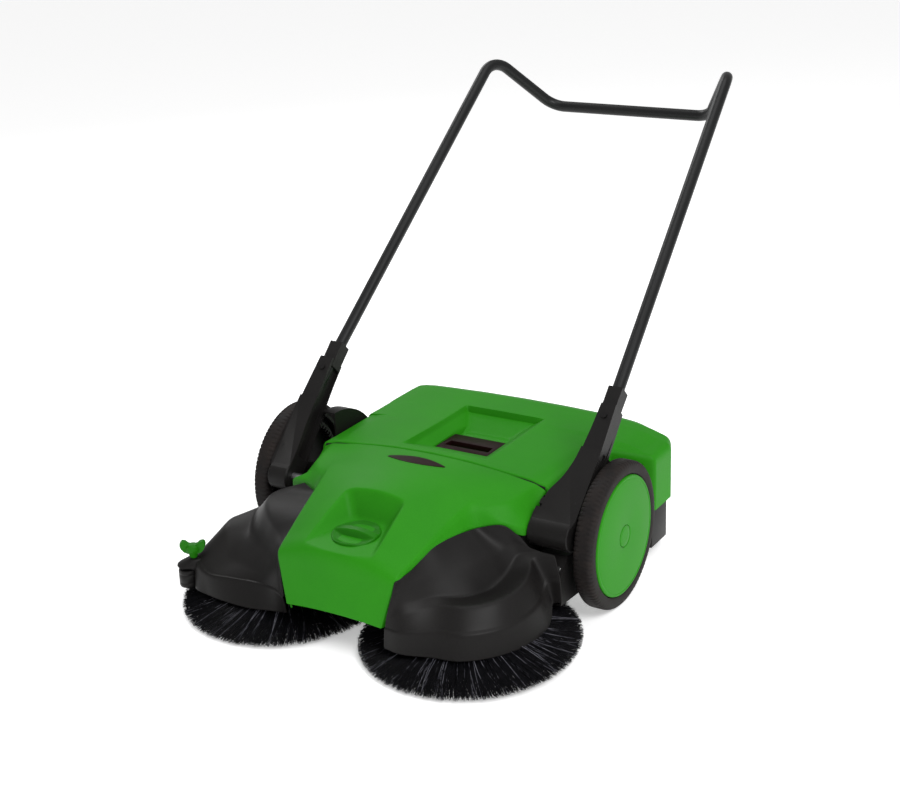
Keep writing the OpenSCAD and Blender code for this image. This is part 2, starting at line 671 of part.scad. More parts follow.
// Bracket frame: origin on the pivot, +x along the leg, +y lateral outwards, +z off its face
module bracket_frame()
    translate([0, pivot_y, pivot_z]) rotate([lean_a, 0, 0]) rotate([0, 0, 90])
    mirror([0, 1, 0]) children();
module bracket_body() difference() {
    union() {
        xcyl(barrel_r, 240, 319, pivot_y, pivot_z);
        bracket_frame() {
            translate([0, 0, -24]) linear_extrude(48)
                polygon([[0, 242], [34, 243], [62, 252], [92, 268], [126, 278], [160, 282],
                         [160, 324], [20, 324], [0, 319]]);
            translate([0, 0, -21]) linear_extrude(42)
                polygon([[159, 282], [240, 283], [262, 285], [262, 323], [159, 324]]);
            translate([0, 0, -18]) linear_extrude(36)
                polygon([[261, 286], [bracket_len + 4, 287], [bracket_len + 4, 319], [261, 321]]);
        }
    }
    // Pin bore, tube socket, and the hollow on the inboard side
    xcyl(8 + fit, 230, 330, pivot_y, pivot_z);
    leg_socket(tube_d / 2);
    bracket_frame() {
        translate([40, 240, -16]) cube([14, 52, 32]);
        translate([60, 240, -16]) cube([26, 44, 32]);
        translate([56, 246, 18]) cube([60, 5, 10]);
        translate([116, 308, 17]) cylinder(r = 5, h = 12);
        translate([112, 262, 17]) cylinder(r = 4, h = 12);
    }
}
module leg_socket(r) {
    tilt_x = atan2(leg_dir[0], norm([leg_dir[1], leg_dir[2]]));
    rise = atan2(leg_dir[2], leg_dir[1]);
    translate(foot_p) rotate([rise, 0, 0]) rotate([0, 0, -tilt_x]) rotate([-90, 0, 0])
        cylinder(r = r, h = 420);
}
module left_handle_bracket() color(black) place() bracket_body();
module right_handle_bracket() color(black) place() side(-1) bracket_body();
module handle_screws() color(steel) place()
    for (s = [-1, 1])
        side(s) bracket_frame() translate([226, 304, 0]) {
            translate([0, 0, 12]) cylinder(r = 2.9, h = 10);
            translate([0, 0, 21.2]) cylinder(r = 5.5, h = 3);
        }

// ---- Height adjuster ----
module height_knob() color(green) place() knob_frame() difference() {
    union() {
        translate([0, 0, -8]) cylinder(r = knob_r - 0.5, h = 8);
        intersection() {
            translate([0, 0, -4]) cylinder(r = knob_r - 1, h = 16);
            translate([-knob_r, 0, -40]) rotate([0, 90, 0]) cylinder(r = 47, h = 2 * knob_r, $fn = 96);
            translate([-knob_r, -6, -4]) cube([2 * knob_r, 12, 20]);
        }
        translate([0, 0, -20]) cylinder(r = 12, h = 13);
    }
    translate([0, 0, -21]) cylinder(r = 6, h = 15);
}
module height_screw() color(steel) place() knob_frame()
    translate([0, 0, -98]) cylinder(r = 6, h = 92);
lever_y = -214;
lever_z = 108;
support_y = -122;
support_r = 20;
module support_lever() color(grey) place() difference() {
    union() {
        // Front arm with the nut of the height screw
        hull() {
            block([-14, -314, 100], [14, -284, 110]);
            xcyl(9, -14, 14, lever_y, lever_z, 32);
        }
        // Fork down to the support roller
        for (s = [-1, 1])
            side(s) hull() {
                xcyl(9, 13.5, 18, lever_y, lever_z, 32);
                xcyl(8, 13.5, 18, support_y, support_r, 32);
            }
        xcyl(9, -18, 18, lever_y, lever_z, 64);
        xcyl(4, -18, 18, support_y, support_r);
    }
    xcyl(4 + fit, -30, 30, lever_y, lever_z);
    // The nut's bore has room for the arm's small swing
    knob_frame() translate([0, 0, -110]) cylinder(r = 7.4, h = 40);
}
module support_roller() color(grey) place() difference() {
    xcyl(support_r, -13, 13, support_y, support_r, 96);
    xcyl(4 + fit, -20, 20, support_y, support_r);
}

// ---- Bin ----
// Stations from the seam to the rear: y, top height, half width, drop at the flare
bin_stations = [
    [-60, 249, 168, 238, bin_half, 225],
    [-20, 245, 170, 237, bin_half, 225],
    [60, 241, 172, 236, bin_half, 226],
    [130, 238, 176, 234, bin_half + 4, 225],
    [150, 237, 180, 233, 262, 223],
    [166, 236, 190, 232, 300, 214],
    [180, 236, 200, 231, bin_flare, 203],
    [250, 232, 205, 228, bin_flare, 203],
    [278, 230, 200, 226, 324, 205],
    [296, 227, 190, 223, 292, 207],
    [bin_rear, 216, 180, 212, 262, 204]
];
function bin_row(s, drop) =
    let (h = [[s[2] / 2, s[0], s[1] - 0.25 * (s[1] - s[3])], [s[2], s[0], s[3]],
              [s[2] + 0.55 * (s[4] - s[2]), s[0], s[3] - 0.25 * (s[3] - s[5])],
              [s[4], s[0], s[5]], [s[4], s[0], drop]])
    concat([for (k = [4:-1:0]) flip(h[k])], [[0, s[0], s[1]]], h);
// A station of the bin's form made smaller by t on every side
function inset_y(y, t) =
    y < -59 || (y > 129 && y < 200) ? y + t : y > 249 ? y - t : y;
function inset_station(s, t) =
    [inset_y(s[0], t), s[1] - t, s[2] - t, s[3] - t, s[4] - t, s[5] - t];
// Everything under the bin's crowned top, down to the height low, made smaller by t
module bin_prism(low, t) {
    rows = [for (s = bin_stations) bin_row(inset_station(s, t), low)];
    cols = len(rows[0]);
    n = len(rows);
    pts = [for (r = rows) each r];
    skin = [for (i = [0:n - 2], j = [0:cols - 2])
        let (a = i * cols + j, b = a + 1, c = a + cols, d = c + 1)
        each [[a, c, b], [b, c, d]]];
    foot = [for (i = [0:n - 2])
        let (a = i * cols, b = a + cols - 1, c = a + cols, d = c + cols - 1)
        each [[a, b, c], [b, d, c]]];
    ends = [[for (j = [0:cols - 1]) j], [for (j = [cols - 1:-1:0]) (n - 1) * cols + j]];
    polyhedron(pts, concat(skin, foot, ends));
}
// The form without its flare on the right-hand side, which is straight from front to rear
bin_right = bin_half + 0.6;
module bin_form(low, t) intersection() {
    bin_prism(low, t);
    block([-bin_right + t, -100, 0], [400, 400, 400]);
}
carry_y0 = 44;
carry_y1 = 120;
carry_z = 214;         // top of the carry handle, sunk below the bin's crown
// Hand hollow: a wide dish whose banks fall to the carry handle, and a ramp that runs
// down from the rear and under the handle
module hand_hollow(grow) {
    hull() {
        translate([0, 0, 270]) linear_extrude(0.2)
            polygon([[-84 - grow, -6 - grow], [84 + grow, -6 - grow],
                     [79 + grow, 204 + grow], [-79 - grow, 204 + grow]]);
        translate([0, 0, 231]) linear_extrude(0.2)
            polygon([[-79 - grow, 12 - grow], [79 + grow, 12 - grow],
                     [79 + grow, 204 + grow], [-79 - grow, 204 + grow]]);
        translate([0, 0, carry_z - grow]) linear_extrude(0.2)
            polygon([[-59 - grow, 40 - grow], [59 + grow, 40 - grow],
                     [57 + grow, 176 + grow], [-57 - grow, 176 + grow]]);
    }
    translate([-59 - grow, 0, 0]) rotate([90, 0, 90]) linear_extrude(118 + 2 * grow)
        polygon([[40 - grow, carry_z + 1], [40 - grow, 186 - grow], [112, 184 - grow],
                 [176 + grow, carry_z - 1 - grow], [176 + grow, carry_z + 1]]);
}
module bin_top() color(green) place() difference() {
    union() {
        difference() {
            bin_form(107, 0);
            bin_form(100, wall);
            block([-222, -70, 0], [222, -57, 190]);
        }
        intersection() {
            union() {
                hand_hollow(wall);
                // Inner side walls and the wall above the mouth
                for (s = [-1, 1])
                    side(s) block([215, 30, 107], [218, 152, 240]);
                block([-218, 30, 172], [218, 33, 248]);
            }
            bin_form(107, 0.6);
        }
    }
    hand_hollow(0);
    // Room for the chassis plates, guards and wheels
    for (s = [-1, 1])
        side(s) {
            block([222, -100, 0], [400, 132, 216]);
            xcyl(146, 246, 400, 0, wheel_r, 128);
            // Sockets of the carry handle's stub pins
            xcyl(3 + fit, 50, 64, carry_y0 + 8, carry_z - 5);
        }
    block([-300, -100, 0], [300, -30, 212]);
}
module bin_tub() color(black) place() difference() {
    tub_solid(0, 25);
    tub_solid(wall, 25 + wall);
    // Mouth towards the roller brush
    block([-208, 20, 62], [208, 40, 170]);
}
module tub_plan(t)
    polygon([[-218 + t, 30 + t], [218 - t, 30 + t], [218 - t, 150 + t], [bin_flare - 6 - t, 184 + t],
             [bin_flare - 6 - t, 250], [288 - t, bin_rear - 6 - t], [-228 + t, bin_rear - 6 - t],
             [-238 + t, bin_rear - 16 - t], [-238 + t, 172 + t], [-218 + t, 150 + t]]);
module tub_solid(t, low) {
    translate([0, 0, low]) linear_extrude(106.6 - low + (t > 0 ? 1 : 0)) tub_plan(t);
}
module carry_handle() color(maroon) place() {
    difference() {
        translate([0, 0, carry_z - 10]) linear_extrude(10)
            polygon([[-58, carry_y0], [58, carry_y0], [56.5, carry_y1], [-56.5, carry_y1]]);
        translate([0, 0, carry_z - 12]) linear_extrude(14)
            polygon([[-48, carry_y0 + 21], [48, carry_y0 + 21], [46, carry_y1 - 33],
                     [-46, carry_y1 - 33]]);
    }
    for (s = [-1, 1])
        side(s) xcyl(3, 56, 63, carry_y0 + 8, carry_z - 5);
}

chassis_frame();
hood();
badge();
left_fender();
right_fender();
right_wheel_guard();
left_belt_cover();
right_belt_cover();
wheel_axles();
handle_pivot_pins();
shaft_bearings();
left_brush_belt();
right_brush_belt();
roller_belt();
hood_screws();
guide_arm();
guide_roller_pin();
lever_pin();
dirt_lip();
left_tyre();
right_tyre();
left_wheel_rim();
right_wheel_rim();
left_hub_cap();
right_hub_cap();
left_centre_plug();
right_centre_plug();
left_drive_pinion();
right_drive_pinion();
left_pinion_shaft();
right_pinion_shaft();
left_bevel_pinion();
right_bevel_pinion();
left_bevel_shaft();
right_bevel_shaft();
left_brush_plate();
right_brush_plate();
left_brush_bristles();
right_brush_bristles();
left_brush_spindle();
right_brush_spindle();
left_bevel_gear();
right_bevel_gear();
roller_core();
roller_bristles();
handle_tube();
left_handle_bracket();
right_handle_bracket();
handle_screws();
height_knob();
height_screw();
support_lever();
support_roller();
guide_roller();
guide_knob();
bin_top();
bin_tub();
carry_handle();
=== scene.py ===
import bmesh
import bpy
import math
import numpy as np
from mathutils import Matrix, Vector


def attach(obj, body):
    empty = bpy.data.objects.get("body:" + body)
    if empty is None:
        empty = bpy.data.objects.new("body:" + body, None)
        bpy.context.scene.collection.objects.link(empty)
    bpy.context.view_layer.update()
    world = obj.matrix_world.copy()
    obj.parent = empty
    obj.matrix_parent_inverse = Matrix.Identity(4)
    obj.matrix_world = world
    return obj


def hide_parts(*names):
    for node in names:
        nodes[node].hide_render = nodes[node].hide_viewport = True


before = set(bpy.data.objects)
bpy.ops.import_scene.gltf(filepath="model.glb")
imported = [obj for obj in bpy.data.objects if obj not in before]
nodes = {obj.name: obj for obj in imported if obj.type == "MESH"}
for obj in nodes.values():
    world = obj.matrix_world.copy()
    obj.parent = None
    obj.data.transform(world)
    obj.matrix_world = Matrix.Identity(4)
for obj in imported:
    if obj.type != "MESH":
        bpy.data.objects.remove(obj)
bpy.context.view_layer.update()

# Shapes are drawn in millimetres with the wheel axle at y = 0 and the floor at z = 0.
AXLE_Y = -172.622
MM = 1000.0
WALL = 3.0
WHEEL_R = 135.0
TINY = 1e-3  # radius at which a turned body closes on its axis
rng = np.random.default_rng(7)


def to_row(p):
    """From millimetres in the axle frame to metres in the frame that the CAD model has."""
    return (np.asarray(p, float) + (0.0, AXLE_Y, 0.0)) / MM


# ---------------------------------------------------------------- materials
def new_material(name, rough):
    m = bpy.data.materials.new(name)
    m.use_nodes = True
    b = m.node_tree.nodes["Principled BSDF"]
    b.inputs["Roughness"].default_value = rough
    return m, m.node_tree, b


def node(tree, kind, **sockets):
    n = tree.nodes.new(kind)
    for key, value in sockets.items():
        n.inputs[key.replace("_", " ")].default_value = value
    return n


def ramp(tree, source, stops):
    r = tree.nodes.new("ShaderNodeValToRGB")
    r.color_ramp.elements[0].position = stops[0][0]
    r.color_ramp.elements[0].color = (*stops[0][1], 1)
    r.color_ramp.elements[1].position = stops[-1][0]
    r.color_ramp.elements[1].color = (*stops[-1][1], 1)
    for at, colour in stops[1:-1]:
        r.color_ramp.elements.new(at).color = (*colour, 1)
    tree.links.new(source, r.inputs["Fac"])
    return r.outputs["Color"]


def noise(tree, scale, detail=3.0, rough=0.5):
    c = tree.nodes.new("ShaderNodeTexCoord")
    n = node(tree, "ShaderNodeTexNoise", Scale=scale, Detail=detail, Roughness=rough)
    tree.links.new(c.outputs["Object"], n.inputs["Vector"])
    return n.outputs["Fac"]


def bump(tree, shader, height, strength, distance):
    b = node(tree, "ShaderNodeBump", Strength=strength, Distance=distance)
    tree.links.new(height, b.inputs["Height"])
    tree.links.new(b.outputs["Normal"], shader.inputs["Normal"])


def plastic(name, dark, light, rough, grain, grain_scale=900.0, spec=0.5):
    """Moulded plastic: a fine grain and a broad drift in colour and gloss."""
    m, t, b = new_material(name, rough)
    b.inputs["Specular IOR Level"].default_value = spec
    fine = noise(t, grain_scale, 2.0)
    broad = noise(t, 7.0, 4.0)
    speck = ramp(t, fine, [(0.35, dark), (0.65, light)])
    drift = ramp(t, broad, [(0.3, tuple(0.93 * v for v in dark)), (0.7, light)])
    both = t.nodes.new("ShaderNodeMix")
    both.data_type = "RGBA"
    both.inputs["Factor"].default_value = 0.5
    t.links.new(speck, both.inputs["A"])
    t.links.new(drift, both.inputs["B"])
    t.links.new(both.outputs["Result"], b.inputs["Base Color"])
    gloss = ramp(t, broad, [(0.3, (rough - 0.04,) * 3), (0.7, (rough + 0.05,) * 3)])
    t.links.new(gloss, b.inputs["Roughness"])
    bump(t, b, fine, grain, 0.0004)
    return m


GREEN = plastic("green_shell", (0.016, 0.205, 0.0035), (0.026, 0.255, 0.0070), 0.48, 0.26, spec=0.10)
GREEN_SMOOTH = plastic("green_smooth", (0.011, 0.145, 0.0028), (0.017, 0.175, 0.0048), 0.40, 0.05,
                       spec=0.09)
BLACK = plastic("black_shell", (0.0060, 0.0055, 0.0055), (0.0115, 0.0105, 0.0100), 0.46, 0.30,
                spec=0.17)
BLACK_SMOOTH = plastic("black_smooth", (0.0055, 0.0052, 0.0052), (0.0100, 0.0092, 0.0090), 0.42, 0.08,
                       spec=0.17)
MAROON = plastic("maroon", (0.011, 0.0026, 0.0032), (0.017, 0.0046, 0.0052), 0.44, 0.06, spec=0.08)
TUBE = plastic("tube_coat", (0.0060, 0.0062, 0.0064), (0.0095, 0.0098, 0.0100), 0.38, 0.10, 1400.0, spec=0.24)
CREAM = plastic("gear_cream", (0.50, 0.46, 0.36), (0.60, 0.56, 0.46), 0.5, 0.05)


def tyre_material():
    m, t, b = new_material("tyre_rubber", 0.8)
    broad = noise(t, 38.0, 6.0, 0.65)
    fine = noise(t, 700.0, 3.0)
    worn = ramp(t, broad, [(0.35, (0.007, 0.0055, 0.0055)), (0.6, (0.014, 0.0105, 0.0095)),
                           (0.8, (0.026, 0.019, 0.017))])
    t.links.new(worn, b.inputs["Base Color"])
    t.links.new(ramp(t, broad, [(0.3, (0.62,) * 3), (0.8, (0.85,) * 3)]), b.inputs["Roughness"])
    b.inputs["Specular IOR Level"].default_value = 0.22
    bump(t, b, fine, 0.35, 0.0006)
    return m


def metal_material(name, colour, rough):
    m, t, b = new_material(name, rough)
    b.inputs["Metallic"].default_value = 1.0
    broad = noise(t, 60.0, 5.0)
    tint = ramp(t, broad, [(0.3, tuple(0.8 * c for c in colour)), (0.7, colour)])
    t.links.new(tint, b.inputs["Base Color"])
    gloss = ramp(t, broad, [(0.3, (rough - 0.06,) * 3), (0.7, (rough + 0.08,) * 3)])
    t.links.new(gloss, b.inputs["Roughness"])
    bump(t, b, noise(t, 900.0, 2.0), 0.06, 0.0002)
    return m


def bristle_material(name, dark, light, rough):
    m, t, b = new_material(name, rough)
    b.inputs["Specular IOR Level"].default_value = 0.12
    broad = noise(t, 90.0, 3.0)
    t.links.new(ramp(t, broad, [(0.3, dark), (0.75, light)]), b.inputs["Base Color"])
    return m


TYRE = tyre_material()
STEEL = metal_material("steel", (0.62, 0.62, 0.64), 0.34)
BRONZE = metal_material("bronze", (0.60, 0.42, 0.20), 0.42)
RUBBER = plastic("belt_rubber", (0.012, 0.012, 0.012), (0.020, 0.019, 0.019), 0.68, 0.25)
BRISTLE = bristle_material("bristle_black", (0.0022, 0.0022, 0.0030), (0.0070, 0.0070, 0.0095), 0.36)
# Pale bluish strands: painted highlights on the black bristles
BRISTLE_HIGHLIGHT = bristle_material("bristle_painted_highlight", (0.10, 0.10, 0.13), (0.34, 0.34, 0.38), 0.35)


# ---------------------------------------------------------------- mesh helpers
def mesh_object(name, points, faces, material, smooth=True):
    """A new mesh object from points in millimetres in the axle frame."""
    me = bpy.data.meshes.new(name)
    me.from_pydata([tuple(p) for p in to_row(points)], [], faces)
    me.validate()
    ob = bpy.data.objects.new(name, me)
    bpy.context.scene.collection.objects.link(ob)
    me.materials.append(material)
    if smooth:
        me.polygons.foreach_set("use_smooth", [True] * len(me.polygons))
    return ob


def grid_faces(rows, cols, start=0, flip=False, closed=False):
    """The quads of a grid of points, which closes on itself sideways if closed."""
    i, j = np.meshgrid(np.arange(rows - 1), np.arange(cols if closed else cols - 1), indexing="ij")
    a = start + i * cols + j
    b = start + i * cols + (j + 1) % cols
    c, d = a + cols, b + cols
    quad = np.stack([a, c, d, b] if not flip else [a, b, d, c], -1).reshape(-1, 4)
    return quad.tolist()


def normals(g):
    """Unit normals of a grid of points."""
    du = np.gradient(g, axis=0)
    dv = np.gradient(g, axis=1)
    n = np.cross(dv, du)
    return n / np.maximum(np.linalg.norm(n, axis=2, keepdims=True), 1e-9)


def sheet(name, g, material, thick=WALL, flip=False):
    """A closed shell: the grid g is its outer skin, thick is measured inwards, and the rim is round."""
    rows, cols, _ = g.shape
    n = normals(g)
    if flip:
        n = -n
    inner = g - thick * n
    loop = [(0, j) for j in range(cols)] + [(i, cols - 1) for i in range(1, rows)]
    loop += [(rows - 1, j) for j in range(cols - 2, -1, -1)] + [(i, 0) for i in range(rows - 2, 0, -1)]
    inside = [(min(max(i, 1), rows - 2), min(max(j, 1), cols - 2)) for i, j in loop]
    top = np.array([g[i, j] for i, j in loop])
    back = np.array([g[i, j] for i, j in inside])
    nn = np.array([n[i, j] for i, j in loop])
    out = top - back
    out -= (out * nn).sum(1, keepdims=True) * nn
    out /= np.maximum(np.linalg.norm(out, axis=1, keepdims=True), 1e-9)
    r = thick / 2
    steps = 5
    rim = [top - r * nn + r * (math.cos(t) * nn + math.sin(t) * out)
           for t in np.linspace(0, math.pi, steps + 2)[1:-1]]
    pts = np.concatenate([g.reshape(-1, 3), inner.reshape(-1, 3)] + rim)
    faces = grid_faces(rows, cols, 0, flip) + grid_faces(rows, cols, rows * cols, not flip)
    index = [i * cols + j for i, j in loop]
    rings = [index] + [list(range(2 * rows * cols + k * len(loop), 2 * rows * cols + (k + 1) * len(loop)))
                       for k in range(steps)] + [[rows * cols + q for q in index]]
    m = len(loop)
    for lo, hi in zip(rings, rings[1:]):
        for k in range(m):
            a, b, c, d = lo[k], lo[(k + 1) % m], hi[(k + 1) % m], hi[k]
            faces.append([a, b, c, d] if flip else [d, c, b, a])
    return mesh_object(name, pts, faces, material)


def curve_through(points, per_span):
    """Samples a smooth curve through points along axis 0, with uneven spacing allowed."""
    p = np.asarray(points, float)
    flat = p.reshape(len(p), -1)
    gap = np.linalg.norm(np.diff(flat, axis=0), axis=1) ** 0.5 + 1e-6
    t = np.concatenate([[0], np.cumsum(gap)])
    slope = np.diff(flat, axis=0) / gap[:, None]
    tangent = np.empty_like(flat)
    tangent[0], tangent[-1] = slope[0], slope[-1]
    w0, w1 = gap[:-1, None], gap[1:, None]
    tangent[1:-1] = (slope[:-1] * w1 + slope[1:] * w0) / (w0 + w1)
    out = []
    for k in range(len(p) - 1):
        count = per_span[k] if hasattr(per_span, "__len__") else per_span
        s = np.linspace(0, 1, count, endpoint=False)[:, None]
        h = gap[k]
        out.append((2 * s**3 - 3 * s**2 + 1) * flat[k] + (s**3 - 2 * s**2 + s) * h * tangent[k]
                   + (3 * s**2 - 2 * s**3) * flat[k + 1] + (s**3 - s**2) * h * tangent[k + 1])
    out.append(flat[-1:])
    return np.concatenate(out).reshape((-1,) + p.shape[1:])


def line_through(points, per_span):
    """Samples the straight spans between points along axis 0."""
    p = np.asarray(points, float)
    out = []
    for k in range(len(p) - 1):
        count = per_span[k] if hasattr(per_span, "__len__") else per_span
        s = np.linspace(0, 1, count, endpoint=False).reshape((-1,) + (1,) * (p.ndim - 1))
        out.append(p[k] * (1 - s) + p[k + 1] * s)
    out.append(p[-1:])
    return np.concatenate(out)


def soften(g, axis, passes):
    """Rounds the corners of a grid along one axis, and keeps its ends."""
    g = np.moveaxis(g.copy(), axis, 0)
    for _ in range(passes):
        g[1:-1] = 0.25 * g[:-2] + 0.5 * g[1:-1] + 0.25 * g[2:]
    return np.moveaxis(g, 0, axis)


def smooth_step(v, low, high):
    """0 below low, 1 above high and an S-curve between."""
    t = np.clip((v - low) / (high - low), 0, 1)
    return t * t * (3 - 2 * t)


def soft_min(a, b, k):
    """The smaller of a and b, with a round of size k where they meet."""
    h = np.clip(0.5 + 0.5 * (b - a) / k, 0, 1)
    return b * (1 - h) + a * h - k * h * (1 - h)


def soft_max(a, b, k):
    return -soft_min(-a, -b, k)


def lathe(name, profile, material, x_axis=True, centre=(0, 0, 0), steps=128):
    """A turned body: profile is (radius, position along the axis) pairs, in order round the section."""
    t = np.linspace(0, 2 * math.pi, steps, endpoint=False)
    pr = np.asarray(profile, float)
    r, h = pr[:, 0][:, None], pr[:, 1][:, None]
    if x_axis:
        pts = np.stack([h + 0 * t, r * np.cos(t), r * np.sin(t)], -1)
    else:
        pts = np.stack([r * np.cos(t), r * np.sin(t), h + 0 * t], -1)
    rows = len(pr)
    faces = grid_faces(rows, steps, 0, False, True)
    last = (rows - 1) * steps
    faces += [[last + j, j, (j + 1) % steps, last + (j + 1) % steps] for j in range(steps)]
    pts = pts.reshape(-1, 3) + np.asarray(centre, float)
    return mesh_object(name, pts, faces, material)


def apply_modifiers(ob):
    bpy.context.view_layer.objects.active = ob
    for o in bpy.context.selected_objects:
        o.select_set(False)
    ob.select_set(True)
    for m in list(ob.modifiers):
        bpy.ops.object.modifier_apply(modifier=m.name)


def boolean(ob, tool, operation="DIFFERENCE", solver="EXACT"):
    """Cuts or joins a body with a tool, which is used up."""
    m = ob.modifiers.new("cut", "BOOLEAN")
    m.operation = operation
    m.object = tool
    m.solver = solver
    apply_modifiers(ob)
    bpy.data.objects.remove(tool)


def bevelled(ob, width, segments=3, angle=40.0):
    m = ob.modifiers.new("bevel", "BEVEL")
    m.width = width / MM
    m.segments = segments
    m.limit_method = "ANGLE"
    m.angle_limit = math.radians(angle)
    apply_modifiers(ob)
    shade(ob, 35)


def shade(ob, angle):
    """Smooth faces, with a crisp edge where the skin turns by more than angle degrees."""
    ob.data.polygons.foreach_set("use_smooth", [True] * len(ob.data.polygons))
    ob.data.set_sharp_from_angle(angle=math.radians(angle))


def x_cylinder(name, r, x0, x1, y, z, steps=96):
    return lathe(name, [(TINY, x0), (r, x0), (r, x1), (TINY, x1)], BLACK, True, (0, y, z), steps)


def mirrored(points):
    return np.asarray(points, float) * (-1, 1, 1)


def ride(ob, body, *replaced):
    """Puts a piece on its body, in the place of the CAD nodes named."""
    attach(ob, body)
    if replaced:
        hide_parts(*replaced)
    return ob


def outward(g, inside):
    """True if the grid's normals point away from a point inside the part."""
    n = normals(g)
    return float(((g - np.asarray(inside, float)) * n).sum(2).mean()) > 0


def shell(name, g, material, inside, thick=WALL):
    """A shell whose wall grows towards the point inside, whichever way the grid runs."""
    return sheet(name, g, material, thick, not outward(g, inside))


# ---------------------------------------------------------------- hood
# Height and depth of the middle line, then the points of the ridge, shoulder and edge, front to rear
HOOD_STATIONS = [
    [-391, 80, (98, -389, 74), (101, -384, 74), (103, -376, 74)],
    [-384, 135, (111, -381, 122), (115, -376, 122), (117, -366, 122)],
    [-378, 180, (120.5, -373, 160), (124, -367, 158), (125, -357, 154)],
    [-368, 193, (122.5, -362, 168), (125.5, -354, 163), (126, -345, 158)],
    [-335, 207, (126.5, -335, 178), (128.5, -335, 174), (129, -335, 167)],
    [-280, 230, (134, -280, 199), (138, -280, 194), (141, -280, 186)],
    [-226, 248, (142, -226, 217), (149, -226, 208), (157, -226, 192)],
    [-187, 252, (150, -187, 228), (160, -187, 215), (173, -187, 192)],
    [-165, 254, (154, -165, 233), (178, -165, 222), (209, -165, 196)],
    [-140, 255, (157, -140, 236), (202, -140, 224), (238.5, -140, 184)],
    [-100, 254, (161, -100, 239), (214, -100, 229), (238.5, -100, 197)],
    [-62, 250, (165, -62, 240), (218, -62, 232), (238.5, -62, 222)],
]
KNOB_LEAN = math.radians(4.8)
KNOB_AT = np.array((0.0, -306.0, 194.0))
KNOB_R = 44.0
KNOB_GAP = 2.0
RECESS_REAR = -261.0
PIVOT = np.array((0.0, -114.0, 172.0))
BARREL_ROOM = 31.0


def knob_place(p):
    """From the leaning knob's own frame to the axle frame."""
    p = np.asarray(p, float)
    c, s = math.cos(KNOB_LEAN), math.sin(KNOB_LEAN)
    return np.stack([p[..., 0], p[..., 1] * c - p[..., 2] * s, p[..., 1] * s + p[..., 2] * c], -1) + KNOB_AT


def hood_row(s):
    """One station's outline from the right edge over the crown to the left edge."""
    mid_y, mid_z, ridge, shoulder, edge = s
    ridge, shoulder, edge = (np.array(v, float) for v in (ridge, shoulder, edge))
    u = np.linspace(0, 1, 11)[:, None]
    y, z = mid_y + (ridge[1] - mid_y) * u**2, mid_z + (ridge[2] - mid_z) * u**2
    crown = np.concatenate([u * ridge[0], y, z], 1)
    tuck = edge + ((0 if edge[0] > 200 else -3), 0, -14)
    half = np.concatenate([crown, [shoulder, edge, tuck]])
    return np.concatenate([mirrored(half[:0:-1]), half])


def hood_grid():
    rows = np.array([hood_row(s) for s in HOOD_STATIONS])
    g = curve_through(rows, [14, 16, 12, 22, 30, 30, 20, 14, 14, 20, 18])
    g = np.moveaxis(line_through(np.moveaxis(g, 1, 0), [5, 12, 12] + [7] * 20 + [12, 12, 5]), 0, 1)
    # The right-hand shoulder reaches out in front of the handle's pivot
    x, y = g[..., 0], g[..., 1]
    out = smooth_step(y, -192, -168) * (1 - smooth_step(y, -152, -144))
    spare = np.clip(np.abs(x) - 205, 0, 34)
    g[..., 0] = np.where(x < 0, x - 1.06 * spare * out, x)
    g = soften(g, 1, 3)
    g = soften(g, 0, 2)
    x, y, z = g[..., 0], g[..., 1], g[..., 2]
    # The knob's recess: a leaning floor, and walls that open out towards the front
    floor = KNOB_AT[2] - 2 + (y - KNOB_AT[1]) * math.tan(KNOB_LEAN)
    half = 37 + 32 * np.clip((RECESS_REAR - y) / 96, -0.4, 1.3)
    side = 1.35 * (np.abs(x) - half)
    rear = 1.9 * (y - RECESS_REAR)
    wall = soft_max(soft_max(side, rear, 20.0), np.zeros_like(x), 9.0)
    g[..., 2] = np.where(z > 170, soft_min(z, floor + wall, 4.0), z)
    return g


hood = shell("hood_skin", hood_grid(), GREEN, (0, -200, 60))
hole_r = KNOB_R + KNOB_GAP
hole = lathe("hole", [(TINY, -30), (hole_r, -30), (hole_r, 30), (TINY, 30)], GREEN, False, (0, 0, 0), 160)
co = np.array([v.co for v in hole.data.vertices]) * MM - (0, AXLE_Y, 0)
for v, p in zip(hole.data.vertices, to_row(knob_place(co))):
    v.co = p
boolean(hood, hole)
shade(hood, 40)
ride(hood, "chassis", "hood")


# ---------------------------------------------------------------- badge
BADGE_Y = -109.0


def badge():
    """A thin lens-shaped plate with a rounded rim, bent to the hood's crown."""
    t = np.linspace(-1, 1, 61)
    s = np.linspace(-1, 1, 21)
    tt, ss = np.meshgrid(t, s, indexing="ij")
    half = 15.5 * (1 - tt**2) + 0.6
    x = 62.5 * tt
    y = BADGE_Y + half * ss
    u = np.abs(x) / 159
    z = 254.6 - 17 * u**2 + 0.014 * (y - BADGE_Y)
    edge = np.minimum(1 - np.abs(ss), (1 - np.abs(tt)) * 3)
    z = z + 2.6 * np.sqrt(np.clip(1 - np.clip(1 - edge / 0.35, 0, 1) ** 2, 0, 1)) - 1.2
    return shell("badge_plate", np.stack([x, y, z], -1), MAROON, (0, BADGE_Y, 200), 2.0)


ride(badge(), "chassis", "badge")

